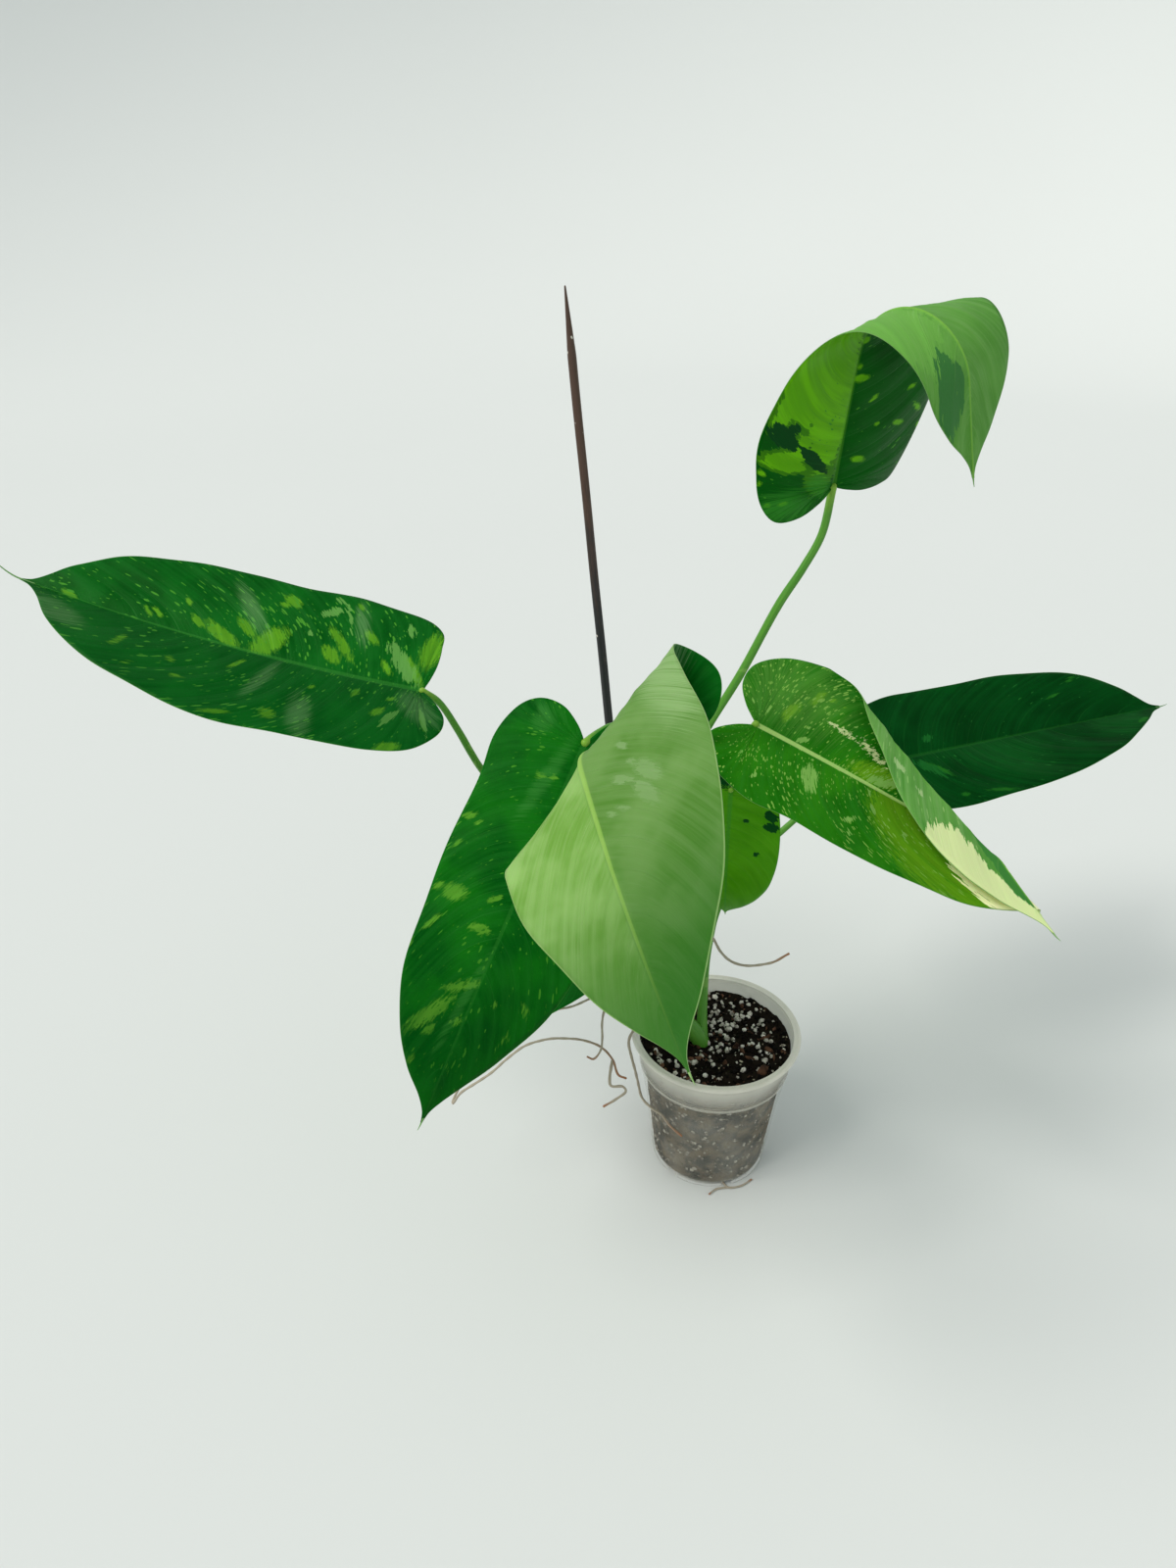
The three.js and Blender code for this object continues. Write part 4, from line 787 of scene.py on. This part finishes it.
stem_parts = [tube(STEM, stem_radius, 240, 32)]
for leaf_name, (route, radii) in PETIOLES.items():
    seat = LEAVES[leaf_name]["junction"]
    stem_parts.append(tube([*route, seat], radius_rule(radii, base=0.5, wobble=0.02, beat=14), 150, 20))
petiole_skin = make_material("petiole_skin", green_flesh, "#68a53a", "#2d7520")
make_rods("stem_with_petioles", "stem_and_petioles", stem_parts, petiole_skin)

root_cork = make_material("aerial_root_cork", root_skin)
for root_name, (routes, radii) in ROOTS.items():
    parts = []
    for route in routes:
        length = np.linalg.norm(np.diff(np.array(route, float), axis=0), axis=1).sum()
        lumpy = radius_rule(radii, wobble=0.1, beat=length / 3)
        parts.append(tube(route, lumpy, int(length / 1.2) + 8, 10))
    make_rods(root_name + "_cork", root_name, parts, root_cork)


# Stake

STAKE = [(-37, 6, 45), (-44.5, 8, 90), (-52, 10, 136), (-64.5, 13.5, 220), (-75.8, 15.8, 334),
         (-90.9, 15.8, 486), (-99.6, 15.8, 574), (-102.4, 15.8, 603)]


def stake_radius(share, turn):
    """A whittled rod: almost even, a little flat-sided, with its last 35 mm cut to a point."""
    taper = np.interp(share, (0, 0.94, 1), (2.6, 2.5, 0.5))
    return taper * (1 + 0.05 * np.sin(2 * turn + 5 * share) + 0.03 * np.sin(37 * share + 3 * turn))


def stained_wood(tree):
    """Old bamboo splint: nearly black and damp below, bare brown towards the top, where its grain of 20 mm
    by 2 mm and pale scuffs of 4 mm show."""
    run = add(tree, "UVMap", uv_map="run")
    grain_space = add(tree, "Mapping", {0: run, "Scale": (0.05, 9, 1)})
    grain = add(tree, "TexNoise", {"Vector": grain_space, "Scale": 1.0, "Detail": 5.0, "Roughness": 0.65})
    dots_space = add(tree, "Mapping", {0: run, "Scale": (0.25, 4, 1)})
    dots = add(tree, "TexNoise", {"Vector": dots_space, "Scale": 1.0, "Detail": 0.0})
    tone = add(tree, "Attribute", out=2, attribute_name="tone")
    dry = add(tree, "Math", {0: grain, 1: 0.35, 2: tone}, operation="MULTIPLY_ADD")
    colour = paint(tree, "#15171a", (
        (dry, 0.85, 1.0, 1.0, "#4a3327"), (grain, 0.6, 0.7, 0.3, "#6f5a49"),
        (dots, 0.79, 0.82, 1.0, "#cfcabf")))
    bump = add(tree, "Bump", {"Height": grain, "Strength": 0.5, "Distance": 0.0005})
    return {"Base Color": colour, "Roughness": 0.55, "Normal": bump}


bamboo = make_material("weathered_bamboo_stake", stained_wood)
make_rods("stake_rod", "stake", [tube(STAKE, stake_radius, 260, 20)], bamboo)


# Pot and potting mix

POT_HEIGHT, RIM_RADIUS, BASE_RADIUS, WALL, FLOOR = 115.0, 60, 42.0, 1.4, 2.0
BEAD = 1.8  # radius of the rolled rim
STEP, STEP_AT = 2.0, 87.0  # how far the collar stands out, and the height where it starts
TAPER = (RIM_RADIUS - 2 * BEAD - STEP - BASE_RADIUS) / POT_HEIGHT
SLOTS_ROUND, FIRST_SLOT = 6, 45  # how many drain slots, and the first one's degrees from the x axis
SLOT_WIDTH, SLOT_HEIGHT, SLOT_INNER = 8, 6, 34
GAP = 0.3  # between the mix and the pot
SOIL_LEVEL, SOIL_SIDES, POT_SIDES, FLOOR_SIDES = 104.0, 180, 144, 96
BARK_CHUNKS = [(-13, 30, 106), (-17, 22, 105), (30, -32, 104)]


def wall_radius(z):
    """Outside radius of the tapered wall, with the collar standing out above the step."""
    return BASE_RADIUS + TAPER * z + np.where(np.asarray(z) > STEP_AT, STEP, 0)


def inner_radius(z):
    """Inside radius of the wall, which slants out over the step from 1 to 2 mm above STEP_AT."""
    return BASE_RADIUS + TAPER * z - WALL + STEP * np.clip(np.asarray(z) - STEP_AT - 1, 0, 1)


def soil_relief(x, y):
    """Broad unevenness of the mix: 1.3 mm of two crossed waves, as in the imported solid."""
    return 1.3 * (0.6 * np.sin(0.21 * x + 1.3) * np.cos(0.17 * y) + 0.4 * np.sin(0.43 * y - 0.31 * x))


def lathe(profile, sides):
    """Turns a profile of (radius, height) points round the z axis."""
    profile = np.asarray(profile, float)
    turn = np.linspace(0, 2 * np.pi, sides + 1)
    points = np.stack([profile[:, :1] * np.cos(turn), profile[:, :1] * np.sin(turn),
                       np.broadcast_to(profile[:, 1:], (len(profile), sides + 1))], -1)
    return points.reshape(-1, 3), grid_faces(len(profile), sides + 1)[:, ::-1]


def rocks(size, places, flat, seed, skew=2.5):
    """Irregular grains: a small icosphere whose points move in and out at random, scaled to size, squashed
    by flat, turned at random and moved to places. Sizes go by chance^skew, so the higher skew is, the
    rarer the big ones are."""
    count = len(places)
    chance = np.random.default_rng(seed)
    work = bmesh.new()
    bmesh.ops.create_icosphere(work, subdivisions=1, radius=1.0)
    ball = np.array([v.co[:] for v in work.verts])
    tris = np.array([[v.index for v in f.verts] for f in work.faces])
    work.free()
    shape = ball * chance.uniform(0.7, 1.15, (count, len(ball), 1))
    squash = [np.ones(count), chance.uniform(*flat, count), chance.uniform(*flat, count)]
    shape *= np.stack(squash, -1)[:, None]
    q = chance.normal(size=(count, 4))
    w, x, y, z = (q / np.linalg.norm(q, axis=1, keepdims=True)).T
    turn = np.array([[1 - 2 * (y * y + z * z), 2 * (x * y - w * z), 2 * (x * z + w * y)],
                     [2 * (x * y + w * z), 1 - 2 * (x * x + z * z), 2 * (y * z - w * x)],
                     [2 * (x * z - w * y), 2 * (y * z + w * x), 1 - 2 * (x * x + y * y)]])
    small, large = size
    grains = np.einsum("nvj,ijn->nvi", shape, turn)
    grains *= (small + (large - small) * chance.uniform(0, 1, count) ** skew)[:, None, None]
    faces = tris[None] + (np.arange(count) * len(ball))[:, None, None]
    return (grains + places[:, None]).reshape(-1, 3), faces.reshape(-1, 3)


def on_soil(count, seed, rise, gather=0.0):
    """Places spread over the soil's surface, lifted by rise. gather thins them out where a broad wave
    0.5 + 0.5 sin(x / 14 + 0.6) cos(y / 17 - 0.7) is low."""
    chance = np.random.default_rng(seed)
    reach = (wall_radius(SOIL_LEVEL) - WALL - 2.5) * np.sqrt(chance.uniform(0, 1, count * 4))
    turn = chance.uniform(0, 2 * np.pi, count * 4)
    x, y = reach * np.cos(turn), reach * np.sin(turn)
    wave = 0.5 + 0.5 * np.sin(x / 14 + 0.6) * np.cos(y / 17 - 0.7)
    kept = np.flatnonzero(chance.uniform(0, 1, count * 4) > gather * (1 - wave))[:count]
    x, y = x[kept], y[kept]
    return np.stack([x, y, SOIL_LEVEL + soil_relief(x, y) + chance.uniform(*rise, count)], -1)


def at_wall(count, seed):
    """Places evenly over the side of the mix, half a millimetre inside it, from its foot to its surface."""
    chance = np.random.default_rng(seed)
    z, turn = chance.uniform(5, SOIL_LEVEL - 3, count), chance.uniform(0, 2 * np.pi, count)
    reach = inner_radius(z) - (GAP + 0.5)
    return np.stack([reach * np.cos(turn), reach * np.sin(turn), z], -1)


def cut_slots(pot):
    """Cuts the drain slots with boxes through floor and wall, evenly round the pot."""
    box = np.array([(x, y, z) for x in (SLOT_INNER, BASE_RADIUS + 4)
                    for y in (-SLOT_WIDTH / 2, SLOT_WIDTH / 2) for z in (-1, SLOT_HEIGHT)])
    sides = np.array([(0, 1, 3, 2), (4, 6, 7, 5), (0, 4, 5, 1), (2, 3, 7, 6), (0, 2, 6, 4), (1, 5, 7, 3)])
    turn = np.radians(FIRST_SLOT + 360 / SLOTS_ROUND * np.arange(SLOTS_ROUND))[:, None]
    out, over, z = box.T
    x, y = out * np.cos(turn) - over * np.sin(turn), out * np.sin(turn) + over * np.cos(turn)
    points = np.stack([x, y, np.broadcast_to(z, x.shape)], -1).reshape(-1, 3)
    faces = np.vstack([sides + len(box) * k for k in range(SLOTS_ROUND)])
    mesh = bpy.data.meshes.new("slot_cutter")
    mesh.from_pydata((points * 0.001).tolist(), [], faces.tolist())
    cutter = new_object("slot_cutter", mesh)
    modifier = pot.modifiers.new("slots", "BOOLEAN")
    modifier.operation, modifier.solver, modifier.object = "DIFFERENCE", "EXACT", cutter
    cut = bpy.data.meshes.new_from_object(pot.evaluated_get(bpy.context.evaluated_depsgraph_get()))
    pot.modifiers.clear()
    pot.data = cut
    cut.set_sharp_from_angle(angle=math.radians(50))
    bpy.data.objects.remove(cutter)


def pot_plastic(tree):
    """Polypropylene nursery pot, moulded thin: milky and half clear, in clouds of 33 mm, with a satin skin
    and faint scuffs 8 mm long and 1.4 mm high."""
    place = add(tree, "TexCoord", out=3)
    haze = add(tree, "TexNoise", {"Vector": place, "Scale": 30.0, "Detail": 4.0})
    colour = add(tree, "Mix", {0: haze, 6: "#dad8cb", 7: "#f0efe4"}, out=2, data_type="RGBA")
    scuff_space = add(tree, "Mapping", {0: place, "Scale": (1, 1, 6)})
    scuff = add(tree, "TexNoise", {"Vector": scuff_space, "Scale": 120.0, "Detail": 4.0})
    gloss = add(tree, "MapRange", {0: scuff, 1: 0.3, 2: 0.7, 3: 0.25, 4: 0.42})
    height = add(tree, "SeparateXYZ", {0: place}, out=2)
    clear = add(tree, "MapRange", {0: haze, 1: 0.3, 2: 0.7, 3: 0.05, 4: 0.14})
    # Thicker, and so cloudier, at the foot, along the step, in the collar and in the rolled rim
    for start, end, gain in ((0.009, 0.004, 0.1), (0.0862, 0.0868, 0.3), (0.0885, 0.0895, -0.22),
                             (0.09, 0.105, 0.4), (0.111, 0.1125, 0.15)):
        thick = add(tree, "MapRange", {0: height, 1: start, 2: end, 4: gain})
        clear = add(tree, "Math", {0: clear, 1: thick}, operation="ADD")
    bump = add(tree, "Bump", {"Height": haze, "Strength": 0.15, "Distance": 0.001})
    return {"Base Color": colour, "Roughness": gloss, "Normal": bump, "Alpha": clear, "IOR": 1.49}


def potting_mix(tree):
    """Damp black peat in crumbs of 5 mm, dull all over, with bits of perlite 1 to 2 mm across in places, and
    drier and browner down the side."""
    place = add(tree, "TexCoord", out=3)
    crumbs = add(tree, "TexNoise", {"Vector": place, "Scale": 210.0, "Detail": 2.0, "Roughness": 0.6})
    colour = add(tree, "Mix", {0: crumbs, 6: "#040302", 7: "#1e1712"}, out=2, data_type="RGBA")
    layered = add(tree, "Mapping", {0: place, "Scale": (1, 1, 3)})
    bits = add(tree, "TexVoronoi", {"Vector": layered, "Scale": 190.0})
    chip = add(tree, "MapRange", {0: bits, 1: 0.22, 2: 0.12})
    region = add(tree, "TexNoise", {"Vector": place, "Scale": 70.0, "Detail": 2.0})
    chip = add(tree, "Math", {0: chip, 1: add(tree, "MapRange", {0: region, 1: 0.45, 2: 0.55})},
               operation="MULTIPLY")
    colour = add(tree, "Mix", {0: chip, 6: colour, 7: "#b9b09c"}, out=2, data_type="RGBA")
    # Against the pot's side the mix is drier, in brown lumps about 10 mm across
    lumps = add(tree, "TexNoise", {"Vector": place, "Scale": 95.0, "Detail": 3.0, "Roughness": 0.55})
    dry = add(tree, "MapRange", {0: lumps, 1: 0.4, 2: 0.62})
    level = add(tree, "SeparateXYZ", {0: place}, out=2)
    side = add(tree, "MapRange", {0: level, 1: 0.1025, 2: 0.098, 3: 0.05, 4: 1.0})
    dry = add(tree, "Math", {0: dry, 1: side}, operation="MULTIPLY")
    colour = add(tree, "Mix", {0: dry, 6: colour, 7: "#62543f"}, out=2, data_type="RGBA")
    bump = add(tree, "Bump", {"Height": crumbs, "Strength": 0.35, "Distance": 0.001})
    return {"Base Color": colour, "Roughness": 0.95, "Specular IOR Level": 0.1, "Normal": bump}


def grains(tree, dark, light, roughness, scale):
    """Matt crumbs of one kind: puffed white perlite, split brown bark or black peat. Each is a little
    lighter or darker by where it lies, by a noise of so many waves to the metre."""
    place = add(tree, "TexCoord", out=3)
    tone = add(tree, "TexNoise", {"Vector": place, "Scale": scale, "Detail": 3.0})
    colour = paint(tree, dark, ((tone, 0.35, 0.65, 1.0, light),))
    bump = add(tree, "Bump", {"Height": tone, "Strength": 0.5, "Distance": 0.0006})
    return {"Base Color": colour, "Roughness": roughness, "Specular IOR Level": 0.15, "Normal": bump}


bead_centre = wall_radius(POT_HEIGHT) + BEAD
bend = np.linspace(-0.5 * np.pi, np.pi * 0.75, 14)
bead = np.stack([bead_centre + BEAD * np.cos(bend), POT_HEIGHT - BEAD + BEAD * np.sin(bend)], -1)
outside = [(0, 0.6), (BASE_RADIUS - 4, 0.6), (BASE_RADIUS - 3, 0), (BASE_RADIUS - 1.2, 0),
           (BASE_RADIUS - 0.4, 0.5), (BASE_RADIUS, 1.4),
           *[(wall_radius(z), z) for z in (30, 60, 90, STEP_AT, STEP_AT + 1, POT_HEIGHT - 5)]]
inside = [(inner_radius(POT_HEIGHT), POT_HEIGHT - 0.6),
          *[(inner_radius(z), z) for z in (STEP_AT + 2, STEP_AT + 1)],
          (BASE_RADIUS - WALL, FLOOR + 1.5), (BASE_RADIUS - WALL - 1.5, FLOOR), (0, FLOOR)]
points, faces = lathe([*outside, *bead, *inside], POT_SIDES)
milky_plastic = make_material("milky_polypropylene", pot_plastic)
cut_slots(make_piece("pot_shell", "pot", points, faces, [milky_plastic]))

rings = np.linspace(0, inner_radius(SOIL_LEVEL) - GAP, 60)
side = [*[(inner_radius(z) - GAP, z) for z in (STEP_AT + 2.5, STEP_AT + 1)],
        (BASE_RADIUS - WALL - GAP, FLOOR + 1.8), (BASE_RADIUS - WALL - 2, FLOOR + GAP), (0, FLOOR + GAP)]
points, faces = lathe([*[(radius, SOIL_LEVEL) for radius in rings], *side], SOIL_SIDES)
surface = points[:len(rings) * (SOIL_SIDES + 1)]
x, y = surface[:, 0], surface[:, 1]
crumb = 0.5 * np.sin(1.9 * x + 2 * np.sin(1.3 * y)) * np.sin(2.1 * y + 2 * np.sin(1.1 * x))
surface[:, 2] += soil_relief(x, y) + crumb
make_piece("peat_body", "soil", points, faces[:, ::-1], [make_material("black_peat", potting_mix)])

# Perlite: coarse grains on top, and finer ones, grey with dust, seen through the wall and held inside it
on_top = rocks((1.0, 2.8), on_soil(230, 11, (-0.6, 1.0), 0.9), (0.7, 1.0), 12, skew=1.2)
by_wall = rocks((0.8, 2.4), at_wall(460, 13), (0.7, 1.0), 14, skew=1.3)
reach = np.hypot(*by_wall[0][:, :2].T)
by_wall[0][:, :2] *= np.minimum((inner_radius(by_wall[0][:, 2]) - 0.05) / np.maximum(reach, 1), 1)[:, None]

# Bark: thin chips all over, and three big pieces beside the stem
chips, chip_faces = rocks((1.6, 5.5), on_soil(110, 21, (-0.8, 0.8)), (0.25, 0.7), 22)
chunks, chunk_faces = rocks((6, 9), np.array(BARK_CHUNKS), (0.45, 0.7), 24)
bark = np.vstack([chips, chunks]), np.vstack([chip_faces, chunk_faces + len(chips)])
peat = rocks((0.8, 2.4), on_soil(1000, 31, (-0.8, 1.0)), (0.5, 1.0), 32)
for name, shape, kind, look in (
        ("perlite_grains", on_top, "perlite", ("#7d766b", "#efebe2", 0.9, 260.0)),
        ("dusty_perlite_grains", by_wall, "dusty_perlite", ("#565046", "#b5b0a4", 0.95, 260.0)),
        ("bark_chips", bark, "pine_bark", ("#2a1810", "#6f4f3d", 0.85, 120.0)),
        ("peat_crumbs", peat, "peat_crumb", ("#020201", "#15100c", 0.95, 200.0))):
    make_piece(name, "soil", *shape, [make_material(kind, grains, *look)], merge=0, whole=False)


# Stage: pale floor, soft light and the camera at the photograph's place

FLOOR_RADIUS, CURVE_RADIUS, CURVE_TURN = 2600, 1500, 1.2
CAMERA_PLACE, CAMERA_DOWN, LENS, SENSOR = (-0.0907, -0.628, 0.695), 31.0, 27.09, 36.0


def seamless_paper(tree):
    """Pale matt paper, hardly mottled."""
    place = add(tree, "TexCoord", out=3)
    tone = add(tree, "TexNoise", {"Vector": place, "Scale": 0.8, "Detail": 2.0})
    colour = add(tree, "Mix", {0: tone, 6: "#d9dddd", 7: "#dde1e1"}, out=2, data_type="RGBA")
    return {"Base Color": colour, "Roughness": 0.9, "Specular IOR Level": 0.1}


# The paper lies flat round the pot and then curves up all round, so that no horizon shows at the photo's
# angle
rise = np.linspace(0, CURVE_TURN, 24)
curve = np.stack([FLOOR_RADIUS + CURVE_RADIUS * np.sin(rise),
                  CURVE_RADIUS - CURVE_RADIUS * np.cos(rise)], -1)
points, faces = lathe([(0, 0), (FLOOR_RADIUS / 2, 0), *curve], FLOOR_SIDES)
paper = make_material("pale_seamless_paper", seamless_paper)
make_mesh("floor", points, faces[:, ::-1], [paper], merge=0)

scene = bpy.context.scene
scene.view_settings.view_transform = "Standard"
scene.world = bpy.data.worlds.new("studio")
scene.world.use_nodes = True
background = scene.world.node_tree.nodes["Background"].inputs
background["Color"].default_value = linear("#f1f7f5")
background["Strength"].default_value = 0.66

# An even light 30 degrees wide from the left and the front, as from a large window
sun = bpy.data.lights.new("key", "SUN")
sun.angle, sun.energy, sun.color = math.radians(30), 1.95, linear("#fffaf2")[:3]
new_object("key", sun).rotation_euler = Vector((-0.75, -0.35, 1.0)).to_track_quat("Z", "Y").to_euler()

# The camera stands where the photograph was taken
lens = bpy.data.cameras.new("camera")
lens.lens, lens.sensor_width, lens.sensor_fit = LENS, SENSOR, "AUTO"
scene.camera = new_object("camera", lens)
scene.camera.location = CAMERA_PLACE
scene.camera.rotation_euler = (math.radians(90 - CAMERA_DOWN), 0, 0)
